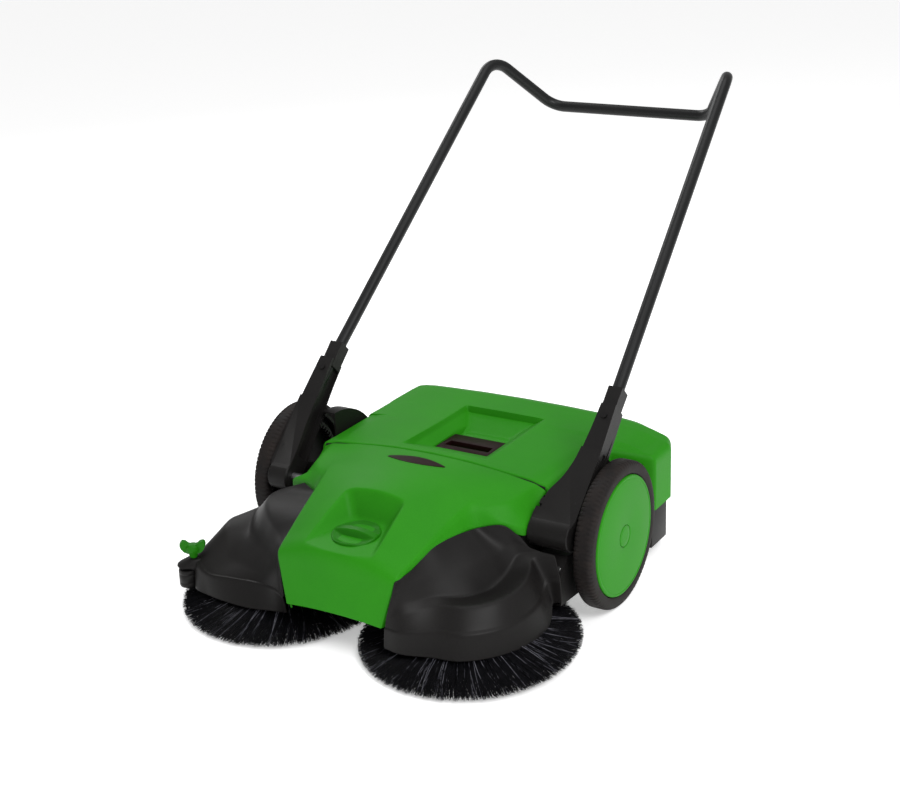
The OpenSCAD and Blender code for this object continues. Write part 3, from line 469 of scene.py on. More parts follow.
# ---------------------------------------------------------------- fenders
# Each column runs from the hood's edge down to the rim of the skirt, and the columns run rearwards
LEFT_COLUMNS = [
    [(123, -375, 157), (121, -381, 138), (116, -387, 115), (112, -390, 98), (109, -392, 78), (107, -393, 42)],
    [(130, -340, 163), (133, -356, 143), (136, -368, 121), (138, -380, 104), (139, -392, 78), (139, -396, 40)],
    [(134, -308, 175), (150, -316, 148), (165, -324, 118), (177, -338, 110), (192, -364, 80), (190, -379, 38)],
    [(141, -282, 185), (167, -286, 149), (196, -292, 110), (224, -322, 113), (240, -353, 80), (241, -367, 38)],
    [(149, -252, 189), (180, -262, 150), (212, -268, 108), (260, -287, 115), (279, -313, 80), (285, -324, 38)],
    [(158, -226, 190), (193, -238, 150), (222, -240, 107), (276, -246, 118), (298, -262, 80), (311, -268, 38)],
    [(166, -206, 190), (205, -208, 151), (228, -212, 114), (278, -208, 124), (300, -212, 82), (315, -215, 40)],
    [(176, -188, 190), (214, -182, 153), (231, -182, 126), (270, -176, 130), (290, -176, 86), (306, -178, 44)],
    [(211, -169, 193), (224, -162, 160), (237, -160, 142), (263, -155, 138), (290, -156, 100), (298, -157, 60)],
    [(236, -153, 172), (250, -149, 153), (268, -143, 146), (294, -139, 143), (312, -152, 104), (314, -152, 64)],
]
RIGHT_COLUMNS = [
    [(122, -372, 157), (121, -374, 138), (118, -376, 115), (116, -377, 98), (116, -376, 78), (118, -366, 42)],
    [(129, -340, 165), (136, -350, 146), (138, -357, 121), (141, -361, 100), (147, -362, 80), (147, -371, 40)],
    [(134, -308, 175), (164, -312, 156), (176, -328, 118), (184, -346, 94), (194, -358, 80), (194, -380, 39)],
    [(141, -282, 185), (200, -286, 164), (212, -304, 122), (226, -336, 94), (245, -364, 79), (246, -379, 39)],
    [(149, -252, 189), (230, -260, 170), (246, -286, 124), (270, -326, 98), (290, -368, 79), (287, -373, 39)],
    [(158, -226, 190), (252, -234, 172), (270, -262, 126), (302, -292, 132), (330, -352, 92), (321, -366, 42)],
    [(166, -206, 190), (264, -210, 172), (286, -232, 134), (322, -258, 134), (344, -318, 90), (344, -330, 44)],
    [(176, -188, 190), (270, -186, 171), (292, -204, 142), (326, -222, 128), (346, -262, 86), (350, -270, 46)],
    [(211, -169, 193), (270, -164, 168), (288, -176, 142), (314, -184, 126), (328, -204, 86), (334, -206, 50)],
]


UNDER_FENDER = (180, -240, 60)
SKIRT_STEP = 2.4


def fender_grid(columns, sign):
    """A fender's skin, with the skirt standing out from the dome by a small step."""
    g = curve_through(np.array(columns, float), 16)
    spans = [18, 18, 18, 16, 16]
    g = np.moveaxis(line_through(np.moveaxis(g, 1, 0), spans), 0, 1)
    g = soften(g, 1, 4)
    g = soften(g, 0, 3)
    n = normals(g)
    if not outward(g, UNDER_FENDER):
        n = -n
    step = np.clip((np.arange(g.shape[1]) - sum(spans[:4]) + 1) / 1.2, 0, 1)
    g = g + SKIRT_STEP * step[None, :, None] * n
    g[..., 0] *= sign
    return g


left_fender = shell("left_fender_skin", fender_grid(LEFT_COLUMNS, 1), BLACK, UNDER_FENDER)
right_fender = shell("right_fender_skin", fender_grid(RIGHT_COLUMNS, -1), BLACK, mirrored(UNDER_FENDER))
for ob, sign in ((left_fender, 1), (right_fender, -1)):
    x0, x1 = sorted((sign * 205, sign * 345))
    boolean(ob, x_cylinder("barrel_room", BARREL_ROOM, x0, x1, PIVOT[1], PIVOT[2]))
STEM = (-334.0, -351.0)
GUIDE = (-346.0, -356.0)
GUIDE_R = 17.5
room_r = GUIDE_R + 2.6
boolean(right_fender, lathe("roller_room", [(TINY, 28), (room_r, 28), (room_r, 78), (TINY, 78)], BLACK,
                            False, (*GUIDE, 0), 96))
shade(left_fender, 40)
shade(right_fender, 40)
ride(left_fender, "chassis", "left_fender")
ride(right_fender, "chassis", "right_fender")


def hull_mesh(name, points, material):
    """The convex skin of a cloud of points."""
    ob = mesh_object(name, points, [], material)
    bm = bmesh.new()
    bm.from_mesh(ob.data)
    out = bmesh.ops.convex_hull(bm, input=bm.verts)
    bmesh.ops.delete(bm, geom=[v for v in bm.verts if not v.link_faces], context="VERTS")
    bm.to_mesh(ob.data)
    bm.free()
    return ob


def ring_points(x, y, z, r, n=48):
    """Points round a level circle."""
    t = np.linspace(0, 2 * math.pi, n, endpoint=False)
    return np.stack([x + r * np.cos(t), y + r * np.sin(t), np.full(n, float(z))], -1)


roof = hull_mesh("guide_roof", np.concatenate([
    ring_points(*STEM, 78.5, 14), ring_points(*STEM, 92, 13), ring_points(*STEM, 94, 10.5),
    ring_points(*GUIDE, 78.5, GUIDE_R + 1.5), ring_points(*GUIDE, 81, GUIDE_R + 1),
    ring_points(*GUIDE, 84.5, GUIDE_R - 3),
    ring_points(-312, -338, 80, 12), ring_points(-312, -336, 94, 7)]), BLACK)
shade(roof, 40)
ride(roof, "chassis")

# ---------------------------------------------------------------- bin
# y, top height, inner x, height there, half width, height at the edge
BIN_STATIONS = np.array([
    [-60, 249, 168, 238, 243, 225], [-20, 245, 170, 237, 243, 225], [60, 241, 172, 236, 243, 226],
    [130, 239, 176, 235, 247, 226], [150, 239, 180, 235, 262, 225], [166, 239, 190, 235, 300, 218],
    [180, 239, 200, 236, 337, 210], [250, 239, 205, 236, 337, 211], [278, 239, 200, 235, 324, 212],
    [296, 235, 190, 231, 292, 212], [305, 224, 180, 219, 262, 208]], float)
CARRY_Z = 214.0
BIN_RIGHT = 243.0
BIN_FRONT = -55.5
BIN_REAR = 305.0
BIN_WALL = 2.6
LIP_ROUND = 2.5   # rounding of the front lip
EDGE_ROUND = 9.0  # rounding of the sides and the rear
FLARE_FROM = 130.0
POCKET_FLOOR = 195.0
ARCH_R = 146.0
ARCH_X = 246.0


def bin_heights(y):
    """The stations' five measures at each y."""
    return np.array([np.interp(y, BIN_STATIONS[:, 0], BIN_STATIONS[:, k]) for k in range(1, 6)]).T


def hand_hollow(x, y):
    """The dish round the carry handle and the pocket under it."""
    ax = np.abs(x)
    zero = np.zeros_like(x)
    sides = soft_max(0.66 * (x - 59.5), -0.85 * (x + 60), 3.0)
    bank = soft_max(soft_max(sides, 0.40 * (42 - y), 3.0), 0.46 * (y - 176), 5.0)
    dish = CARRY_Z - 9 + soft_max(bank + 9, zero, 2.0)
    out = soft_max(soft_max(soft_max(x - 98, -80 - x, 2.0), -40 - y, 6.0), y - 204, 6.0)
    dish = dish + 7.0 * soft_max(out, zero, 0.8)
    ramp_z = POCKET_FLOOR + (CARRY_Z + 1 - POCKET_FLOOR) * np.clip((y - 112) / 64, 0, 1)
    inside = soft_max(soft_max(ax - 58.6, 41 - y, 2.0), y - 178, 2.0)
    pocket = ramp_z + 9.0 * soft_max(inside, zero, 0.8)
    return soft_min(dish, pocket, 1.2)


def section_heights(x, top, ix, iz, hw, ez):
    """Heights across one half of a station: crowned to ix, then falling to the edge at hw."""
    at = [0, ix / 2, ix, ix + 0.55 * (hw - ix), hw]
    return np.interp(x, at, [top, top - 0.25 * (top - iz), iz, iz - 0.25 * (iz - ez), ez])


def bin_shell():
    """The bin's green top: a crowned skin with round edges, and walls down from its rim."""
    spans = ((BIN_FRONT, BIN_FRONT + 6, 9), (BIN_FRONT + 6, FLARE_FROM, 122), (FLARE_FROM, 184, 40),
             (184, 278, 60))
    y = np.concatenate([np.linspace(*span)[:-1] for span in spans] + [np.linspace(278, BIN_REAR, 26)])
    s = soften(bin_heights(y), 0, 3)
    half = s[:, 3]
    # Columns stand closer together towards the sides
    f = np.concatenate([[0, 0.004, 0.009, 0.015, 0.022, 0.03, 0.04, 0.052, 0.066], np.linspace(0.08, 1, 118)])
    f = 1 - f[::-1]
    t = np.concatenate([-f[::-1][:-1], f])
    ny, nx = len(y), len(t)
    # The right-hand side has no flare: it is straight from front to rear
    half_right = np.minimum(half, BIN_RIGHT - 0.006 * np.clip(y - 270, 0, 99) ** 2)
    reach = np.where(t[None, :] > 0, half[:, None], half_right[:, None])
    x = reach * t[None, :]
    yy = np.repeat(y[:, None], nx, 1)
    z = np.empty_like(x)
    for i in range(ny):
        top, ix, iz, hw, ez = s[i]
        left = section_heights(x[i], top, ix, iz, hw, ez)
        fall = 12 if y[i] < 100 else 5
        right = section_heights(-x[i], top, min(ix, 186), iz, half_right[i], max(ez, iz - fall))
        z[i] = np.where(x[i] > 0, left, right)
    z = soften(z, 1, 40)
    slope = np.gradient(reach, y, axis=0)
    side = (reach - np.abs(x)) / np.sqrt(1 + slope**2)
    rear = (y[-1] - yy)
    d = soft_min(side, rear, 8.0)
    d = np.maximum(np.minimum(d, np.minimum(side, rear)), 0)
    z = z - (EDGE_ROUND - np.sqrt(EDGE_ROUND**2 - np.clip(EDGE_ROUND - d, 0, EDGE_ROUND) ** 2))
    front = np.clip(LIP_ROUND - (yy - BIN_FRONT), 0, LIP_ROUND)
    z = z - (LIP_ROUND - np.sqrt(LIP_ROUND**2 - front**2))
    z = soft_min(z, hand_hollow(x, yy), 1.6)
    g = np.stack([x, yy, z], -1)
    pts = [g.reshape(-1, 3)]
    faces = grid_faces(ny, nx, 0)
    loop = [i * nx for i in range(ny)] + [(ny - 1) * nx + j for j in range(1, nx)]
    loop += [i * nx + nx - 1 for i in range(ny - 2, -1, -1)] + [j for j in range(nx - 2, 0, -1)]
    base = pts[0][loop]
    # The walls reach down to the tub behind the wheels, and are short beside and before them
    low = np.where(base[:, 1] >= FLARE_FROM + 1, 107.0, 205.0)
    low = np.where(base[:, 1] < BIN_FRONT + 0.5, 196.0, low)
    previous = loop
    count = ny * nx
    steps = 14
    for k in range(1, steps + 1):
        q = base.copy()
        q[:, 2] = base[:, 2] + (low - base[:, 2]) * k / steps
        pts.append(q)
        ring = list(range(count, count + len(loop)))
        for m in range(len(loop)):
            a, b = previous[m], previous[(m + 1) % len(loop)]
            faces.append([a, ring[m], ring[(m + 1) % len(loop)], b])
        previous = ring
        count += len(loop)
    return np.concatenate(pts), faces


def solidify(ob, thick):
    """Gives a single skin a wall."""
    m = ob.modifiers.new("wall", "SOLIDIFY")
    m.thickness = thick / MM
    m.offset = -1
    m.use_even_offset = False
    apply_modifiers(ob)


def recalc(ob):
    """Welds points that coincide and turns all faces outwards."""
    bm = bmesh.new()
    bm.from_mesh(ob.data)
    bmesh.ops.remove_doubles(bm, verts=bm.verts, dist=1e-6)
    bmesh.ops.recalc_face_normals(bm, faces=bm.faces)
    bm.to_mesh(ob.data)
    bm.free()


points, faces = bin_shell()
bin_top = mesh_object("bin_shell", points, faces, GREEN)
solidify(bin_top, BIN_WALL)
recalc(bin_top)
for sign in (-1, 1):
    x0, x1 = sorted((sign * ARCH_X, sign * 400))
    boolean(bin_top, x_cylinder("arch", ARCH_R, x0, x1, 0, WHEEL_R, 160))
shade(bin_top, 38)
ride(bin_top, "bin", "bin_top")


def bin_seam_shade_strip(points):
    """A black strip along the bin's front edge, which paints the shade in the seam behind the hood."""
    edge = points[np.abs(points[:, 1] - points[:, 1].min()) < 0.01]
    height = {}
    for x, _, z in edge:
        height[round(float(x), 2)] = max(z, height.get(round(float(x), 2), -1e9))
    xs = np.array(sorted(k for k in height if abs(k) < 236))
    zs = np.array([height[k] for k in xs])
    rows = []
    for dy, dz in ((1.2, 1.9), (-2.2, 1.8), (-3.6, 0.6), (-4.2, -1.0), (-4.2, -7.0), (1.2, -7.0)):
        rows.append(np.stack([xs, np.full_like(xs, BIN_FRONT + dy), zs + dz], -1))
    g = np.array(rows)
    ring, count = g.shape[:2]
    faces = grid_faces(ring, count)
    faces += [[(ring - 1) * count + j, (ring - 1) * count + j + 1, j + 1, j] for j in range(count - 1)]
    faces += [[r * count for r in range(ring)], [r * count + count - 1 for r in range(ring)][::-1]]
    return g.reshape(-1, 3), faces


# A black strip just under the bin's front edge: painted shade in the seam between hood and bin
points, faces = bin_seam_shade_strip(points)
seam_shade_strip = mesh_object("bin_seam_shade_strip", points, faces, BLACK_SMOOTH)
recalc(seam_shade_strip)
shade(seam_shade_strip, 30)
ride(seam_shade_strip, "bin")


def cad_copy(name, cad, material, bevel=0.0, angle=30.0):
    """A copy of a CAD node's mesh with welded, dissolved faces and rounded edges."""
    me = nodes[cad].data.copy()
    ob = bpy.data.objects.new(name, me)
    bpy.context.scene.collection.objects.link(ob)
    bm = bmesh.new()
    bm.from_mesh(me)
    bmesh.ops.remove_doubles(bm, verts=bm.verts, dist=1e-6)
    bmesh.ops.dissolve_limit(bm, angle_limit=math.radians(1.0), verts=bm.verts, edges=bm.edges)
    bmesh.ops.recalc_face_normals(bm, faces=bm.faces)
    bm.to_mesh(me)
    bm.free()
    me.materials.clear()
    me.materials.append(material)
    if bevel:
        bevelled(ob, bevel, 3, angle)
    else:
        shade(ob, 35)
    return ob


tub = cad_copy("bin_tub_shell", "bin_tub", BLACK, 2.0, 25.0)
ride(tub, "bin", "bin_tub")
carry = cad_copy("carry_ring", "carry_handle", MAROON, 2.2, 40.0)
ride(carry, "carry", "carry_handle")


# ---------------------------------------------------------------- wheels
def tyre(name, sign):
    """A tyre with a rounded section and shallow blocks moulded round both shoulders."""
    outer, inner = 361.0, 325.0
    section = [(112.4, outer - 5.2), (112.2, outer - 1.4), (113.2, outer - 0.3), (116, outer + 0.2),
               (122, outer + 0.6), (127, outer + 0.2), (131, outer - 1.2), (133.6, outer - 3.6),
               (134.8, outer - 6.8), (WHEEL_R, outer - 10), (WHEEL_R, outer - 14), (WHEEL_R, outer - 18),
               (WHEEL_R, outer - 22), (WHEEL_R, inner + 10), (134.8, inner + 6.8), (133.6, inner + 3.6),
               (131, inner + 1.3), (127, inner + 0.2), (122, inner), (118, inner + 2.6)]
    blocks, gap, depth = 96, 0.22, 1.5
    pr = np.array(section)
    steps = 576
    t = np.linspace(0, 2 * math.pi, steps, endpoint=False)
    r = np.repeat(pr[:, 0][:, None], steps, 1)
    h = np.repeat(pr[:, 1][:, None], steps, 1)
    phase = (t * blocks / (2 * math.pi)) % 1.0
    for middle, shift in ((outer - 5, 0.0), (inner + 5, 0.5)):
        groove = (((phase + shift) % 1.0) < gap).astype(float)
        near = np.clip(1 - np.abs(pr[:, 1] - middle) / 7.5, 0, 1) * (pr[:, 0] > 129)
        r = r - depth * np.minimum(1, 2 * near)[:, None] * groove
    pts = np.stack([sign * h, r * np.cos(t), r * np.sin(t) + WHEEL_R], -1).reshape(-1, 3)
    rows = len(pr)
    faces = grid_faces(rows, steps, 0, sign < 0, True)
    last = (rows - 1) * steps
    for j in range(steps):
        k = (j + 1) % steps
        faces.append([last + j, j, k, last + k] if sign > 0 else [last + k, k, j, last + j])
    ob = mesh_object(name, pts, faces, TYRE)
    recalc(ob)
    shade(ob, 45)
    return ob


# Sections of the hub cap, which has a fine groove near its rim, and of the plug in its middle
CAP = [(20.6, 354.5), (106, 354.5), (109.2, 355.4), (110.6, 357), (110.8, 359.6), (110.2, 361.4),
       (109, 362.3), (107.4, 362.7), (106.2, 362.6), (105.4, 361.9), (104.6, 361.8), (103.6, 362.2),
       (102, 362.5), (60, 362.9), (24, 362.7), (22, 362.5), (21, 362.1), (20.6, 361.4)]
PLUG = [(TINY, 356.5), (19.7, 356.5), (19.9, 361.2), (19.4, 362.2), (18.2, 362.7), (10, 362.8), (TINY, 362.8)]
for side, sign in (("left", 1), ("right", -1)):
    body = side + "_wheel"
    ride(tyre(side + "_tyre_rubber", sign), body, side + "_tyre")
    for label, profile, cad in (("cap", CAP, "_hub_cap"), ("plug", PLUG, "_centre_plug")):
        pr = [(r, sign * h) for r, h in profile]
        ob = lathe(f"{side}_{label}_disc", pr, GREEN, True, (0, 0, WHEEL_R), 192)
        recalc(ob)
        shade(ob, 40)
        ride(ob, body, side + cad)


# ---------------------------------------------------------------- disc brushes
BRUSH_X, BRUSH_Y, BRUSH_Z = 193.0, -259.0, 16.0
TILT = math.radians(3.4)


def brush_place(p, sign):
    """From a disc brush's own tilted frame to the axle frame."""
    p = np.asarray(p, float)
    c, s = math.cos(TILT), math.sin(TILT)
    x, y, z = p[..., 0], p[..., 1], p[..., 2]
    return np.stack([sign * (x + BRUSH_X), y * c - z * s + BRUSH_Y, y * s + z * c + BRUSH_Z], -1)


def strands(name, paths, radii, material, sides=3):
    """Thin tapered rods along paths of shape (count, steps, 3)."""
    count, steps, _ = paths.shape
    d = np.gradient(paths, axis=1)
    d /= np.maximum(np.linalg.norm(d, axis=2, keepdims=True), 1e-9)
    ref = np.array((0.13, 0.21, 1.0))
    a = np.cross(d, ref)
    a /= np.maximum(np.linalg.norm(a, axis=2, keepdims=True), 1e-9)
    b = np.cross(d, a)
    t = np.linspace(0, 2 * math.pi, sides, endpoint=False)
    ring = a[:, :, None] * np.cos(t)[None, None, :, None] + b[:, :, None] * np.sin(t)[None, None, :, None]
    pts = (paths[:, :, None] + radii[:, :, None, None] * ring).reshape(-1, 3)
    c, s, k = np.meshgrid(np.arange(count), np.arange(steps - 1), np.arange(sides), indexing="ij")
    base = c * steps * sides + s * sides
    p, q = base + k, base + (k + 1) % sides
    quads = np.stack([p, q, q + sides, p + sides], -1).reshape(-1, 4)
    me = bpy.data.meshes.new(name)
    me.vertices.add(len(pts))
    me.vertices.foreach_set("co", to_row(pts).astype(np.float32).ravel())
    me.loops.add(quads.size)
    me.loops.foreach_set("vertex_index", quads.astype(np.int32).ravel())
    me.polygons.add(len(quads))
    me.polygons.foreach_set("loop_start", np.arange(0, quads.size, 4, dtype=np.int32))
    me.polygons.foreach_set("use_smooth", [True] * len(quads))
    me.update(calc_edges=True)
    me.validate()
    me.materials.append(material)
    ob = bpy.data.objects.new(name, me)
    bpy.context.scene.collection.objects.link(ob)
    return ob


def disc_bristles(sign, tufts, per_tuft, r0, z0, reach, spread):
    """Bristles in tufts round a disc, flared outwards; the two discs don't cross the middle."""
    n = tufts * per_tuft
    angle = np.repeat(np.arange(tufts) * 2 * math.pi / tufts, per_tuft)
    angle += rng.normal(0, spread, n)
    lean = rng.normal(0.0, 0.055, n) + 0.06
    tip_r = reach - np.abs(rng.normal(0, 2.6, n))
    tip_z = 0.5 + np.abs(rng.normal(0, 4.2, n))
    root_r = r0 + rng.uniform(-4, 4, n)
    root_z = z0 + rng.uniform(-3, 3, n)
    sag = rng.normal(0.0, 1.6, n)
    s = np.linspace(0, 1, 6)[None, :]
    radius = root_r[:, None] + (tip_r - root_r)[:, None] * s
    turn = angle[:, None] + lean[:, None] * s**1.6
    z = root_z[:, None] + (tip_z - root_z)[:, None] * (0.75 * s + 0.25 * s**2)
    z = z + sag[:, None] * np.sin(math.pi * s)
    x = radius * np.cos(turn)
    limit = BRUSH_X - 0.8
    x = np.where(x < -limit, -limit + 0.02 * (x + limit), x)
    p = np.stack([x, radius * np.sin(turn), z], -1)
    return brush_place(p, sign), 1 - 0.45 * np.linspace(0, 1, 6)[None, :] ** 2 * np.ones((n, 1))


# Tufts, bristles in each, root radius and height, reach and scatter of each layer
LAYERS = ((60, 52, 74, 29, 195, 0.040), (60, 52, 62, 26, 190, 0.052), (60, 46, 68, 24, 184, 0.060))
# A sparse layer of pale strands at the outer rim: painted highlights on the black bristles
HIGHLIGHT_LAYER = (40, 5, 72, 31, 195, 0.08)
for side, sign in (("left", 1), ("right", -1)):
    body = side + "_brush"
    for k, layer in enumerate(LAYERS):
        path, taper = disc_bristles(sign, *layer)
        ob = strands(f"{side}_bristles_{k}", path, 0.50 * taper, BRISTLE)
        ride(ob, body, *([side + "_brush_bristles"] if k == 0 else []))
    # Pale strands that paint the bluish highlights along the brush's rim
    path, taper = disc_bristles(sign, *HIGHLIGHT_LAYER)
    ride(strands(side + "_bristles_painted_highlight", path, 0.42 * taper, BRISTLE_HIGHLIGHT), body)

# ---------------------------------------------------------------- roller brush
ROLLER_R, ROLLER_Y, ROLLER_Z, ROLLER_LEN = 42.0, -23.0, 46.0, 392.0


def roller_bristles():
    """Six rows of tufts that wind round the roller."""
    rows, per_row, each = 6, 46, 12
    root = 14.0
    k = np.arange(rows * per_row * each)
    row = k // (per_row * each)
    place = (k // each) % per_row
    x = -ROLLER_LEN / 2 + ROLLER_LEN * (place + 0.5) / per_row + rng.normal(0, 1.6, len(k))
    a = 2 * math.pi * row / rows + 2.2 * (x / ROLLER_LEN) + rng.normal(0, 0.05, len(k))
    tip = ROLLER_R - np.abs(rng.normal(0, 1.2, len(k)))
    s = np.linspace(0, 1, 3)[None, :]
    r = root + (tip[:, None] - root) * s
    dx = rng.normal(0, 2.2, len(k))[:, None] * s
    turn = a[:, None] + rng.normal(0, 0.05, len(k))[:, None] * s
    p = np.stack([x[:, None] + dx, r * np.cos(turn) + ROLLER_Y, r * np.sin(turn) + ROLLER_Z], -1)
    return p, np.ones((len(k), 3))


path, taper = roller_bristles()
ride(strands("roller_tufts", path, 0.6 * taper, BRISTLE), "roller", "roller_bristles")

# ---------------------------------------------------------------- handle
TOP = np.array((302.0, 95.0, 365.0))
BEND = np.array((269.6, 675.0, 845.0))
GRIP = np.array((183.0, 785.0, 727.5))
TUBE_R = 11.5
TUBE_WALL = 1.5
BARREL_R = 27.0
BARREL_END = 319.0
PIN_R = 8.2
LEG = (BEND - TOP) / np.linalg.norm(BEND - TOP)
FOOT = TOP - 235 * LEG
LEAN = math.atan2(TOP[2] - PIVOT[2], TOP[1] - PIVOT[1])
BRACKET_END = math.hypot(TOP[1] - PIVOT[1], TOP[2] - PIVOT[2]) + 4


def leg_place(p, sign):
    """From (along the leg, outwards, up off the leg) to the axle frame."""
    p = np.asarray(p, float)
    c, s = math.cos(LEAN), math.sin(LEAN)
    u, w, t = p[..., 0], p[..., 1], p[..., 2]
    return np.stack([sign * w, u * c - t * s + PIVOT[1], u * s + t * c + PIVOT[2]], -1)


def prism(name, outline, t0, t1, sign, material):
    """An outline drawn along and across the bracket, given thickness from t0 to t1."""
    n = len(outline)
    low = [(u, w, t0) for u, w in outline]
    high = [(u, w, t1) for u, w in outline]
    faces = [list(range(n)), list(range(n, 2 * n))[::-1]]
    faces += [[k, (k + 1) % n, n + (k + 1) % n, n + k] for k in range(n)]
    ob = mesh_object(name, leg_place(np.array(low + high), sign), faces, material, False)
    recalc(ob)
    return ob


def join(ob, tool):
    boolean(ob, tool, "UNION", "MANIFOLD")


def cut(ob, tool):
    boolean(ob, tool, "DIFFERENCE", "MANIFOLD")


def turned(name, profile, sign, steps):
    """A body turned about the handle's pivot."""
    ob = lathe(name, [(r, sign * x) for r, x in profile], BLACK, True, tuple(PIVOT), steps)
    recalc(ob)
    return ob


def bracket(sign, label):
    """A handle bracket: barrel on the pivot, curved flare, waist, and neck round the tube."""
    # The right-hand bracket's flare is narrower, because the hood's shoulder stands beside it
    slim = 0.0 if sign > 0 else 0.82
    waist_x = 284.5
    curve = np.array([(2, 241), (34, 242.5), (66, 254), (96, 270), (128, 280), (160, waist_x)])
    curve[:, 1] += slim * (waist_x - curve[:, 1])
    curve = curve_through(curve, 8).tolist()
    foot = curve[0][1]
    ob = prism(label, curve + [(160, 324), (20, 324), (2, BARREL_END)], -24, 24, sign, BLACK)
    waist = curve_through([(125, 284), (160, 285.5), (205, 288.5), (250, 290)], 6).tolist()
    join(ob, prism("waist", waist + [(250, 319), (125, 324)], -18, 21.3, sign, BLACK))
    neck = [(200, 290), (BRACKET_END, 288.6), (BRACKET_END, 316.4), (200, 316.4)]
    join(ob, prism("neck", neck, -14.6, 14.6, sign, BLACK))
    chamfer = 2
    low_r = BARREL_R - chamfer
    join(ob, turned("barrel", [(TINY, foot), (low_r, foot), (BARREL_R, foot + chamfer),
                               (BARREL_R, BARREL_END - chamfer), (low_r, BARREL_END), (TINY, BARREL_END)],
                    sign, 128))
    if sign > 0:
        # Slot and notch beside the barrel; the slot leans outwards with the curved edge
        cut(ob, prism("cut", [(52, 249.4), (100, 256.4), (100, 258.6), (52, 251.6)], 14, 30, sign, BLACK))
        cut(ob, prism("cut", [(36, 236), (46, 236), (46, 246), (36, 246)], 6, 30, sign, BLACK))
        cut(ob, prism("cut", [(34, 236), (40, 236), (40, 252), (34, 252)], 18, 30, sign, BLACK))
    # Channel on the outboard face, the screw's seat in it, and the hollow under the curved edge
    cut(ob, prism("cut", [(46, 321), (226, 321), (226, 330), (46, 330)], -11, 11, sign, BLACK))
    cut(ob, prism("cut", [(138, 318), (160, 318), (160, 326), (138, 326)], -5, 5, sign, BLACK))
    inner = [(40, 200), (40, foot + 20), (68, 0.5 * (foot + 20) + 141), (96, 288), (128, 293), (190, 295),
             (236, 297), (236, 200)]
    cut(ob, prism("cut", inner, -17, 14.5, sign, BLACK))
    cut(ob, turned("pin_bore", [(TINY, 226), (PIN_R, 226), (PIN_R, 316.5), (TINY, 316.5)], sign, 64))
    bevelled(ob, 1.6, 2, 40)
    return ob


def arc_corner(a, b, c, radius, steps):
    """Points of a round corner at b, between the directions to a and c."""
    p, q = (a - b) / np.linalg.norm(a - b), (c - b) / np.linalg.norm(c - b)
    half = math.acos(float(np.dot(p, q))) / 2
    back = radius / math.tan(half)
    mid = b + (p + q) / np.linalg.norm(p + q) * radius / math.sin(half)
    u = b + p * back - mid
    v = b + q * back - mid
    w = math.acos(float(np.dot(u, v)) / radius**2)
    t = np.linspace(0, 1, steps)[:, None]
    return mid + (np.sin((1 - t) * w) * u + np.sin(t * w) * v) / math.sin(w)


def tube(name, route, radius, inner, material, sides=48):
    """A pipe along a route, with open ends and no twist."""
    r = np.asarray(route, float)
    d = np.gradient(r, axis=0)
    d /= np.linalg.norm(d, axis=1, keepdims=True)
    up = np.array((1.0, 0.0, 0.0))
    frames = []
    for k in range(len(r)):
        up = up - np.dot(up, d[k]) * d[k]
        up /= np.linalg.norm(up)
        frames.append((up.copy(), np.cross(d[k], up)))
    t = np.linspace(0, 2 * math.pi, sides, endpoint=False)
    rings = []
    for rad in (radius, inner):
        for k in range(len(r)):
            a, b = frames[k]
            rings.append(r[k] + rad * (np.cos(t)[:, None] * a + np.sin(t)[:, None] * b))
    n = len(r)
    pts = np.concatenate(rings)
    faces = grid_faces(n, sides, 0, False, True) + grid_faces(n, sides, n * sides, True, True)
    for k in (0, n - 1):
        for j in range(sides):
            m = (j + 1) % sides
            faces.append([k * sides + j, k * sides + m, (n + k) * sides + m, (n + k) * sides + j])
    ob = mesh_object(name, pts, faces, material)
    recalc(ob)
    shade(ob, 50)
    return ob


def handle_route():
    """Up one leg, over the top bend, down to the cross bar, and the same on the other side."""
    far = GRIP * (-1, 1, 1)
    half = [FOOT + (BEND - FOOT) * k for k in np.linspace(0, 0.9, 40)]
    half += list(arc_corner(FOOT, BEND, GRIP, 46, 22))
    half += list(arc_corner(BEND, GRIP, far, 48, 22))
    half = np.array(half)
    end_x, end_y, end_z = half[-1]
    bar_x = np.linspace(end_x, -end_x, 26)[1:-1]
    bar = np.stack([bar_x, np.full_like(bar_x, end_y), np.full_like(bar_x, end_z)], -1)
    return np.concatenate([half, bar, half[::-1] * (-1, 1, 1)])


ride(tube("handle_pipe", handle_route(), TUBE_R, TUBE_R - TUBE_WALL, TUBE), "handle", "handle_tube")
for side, sign in (("left", 1), ("right", -1)):
    ride(bracket(sign, side + "_bracket_shell"), "handle", side + "_handle_bracket")


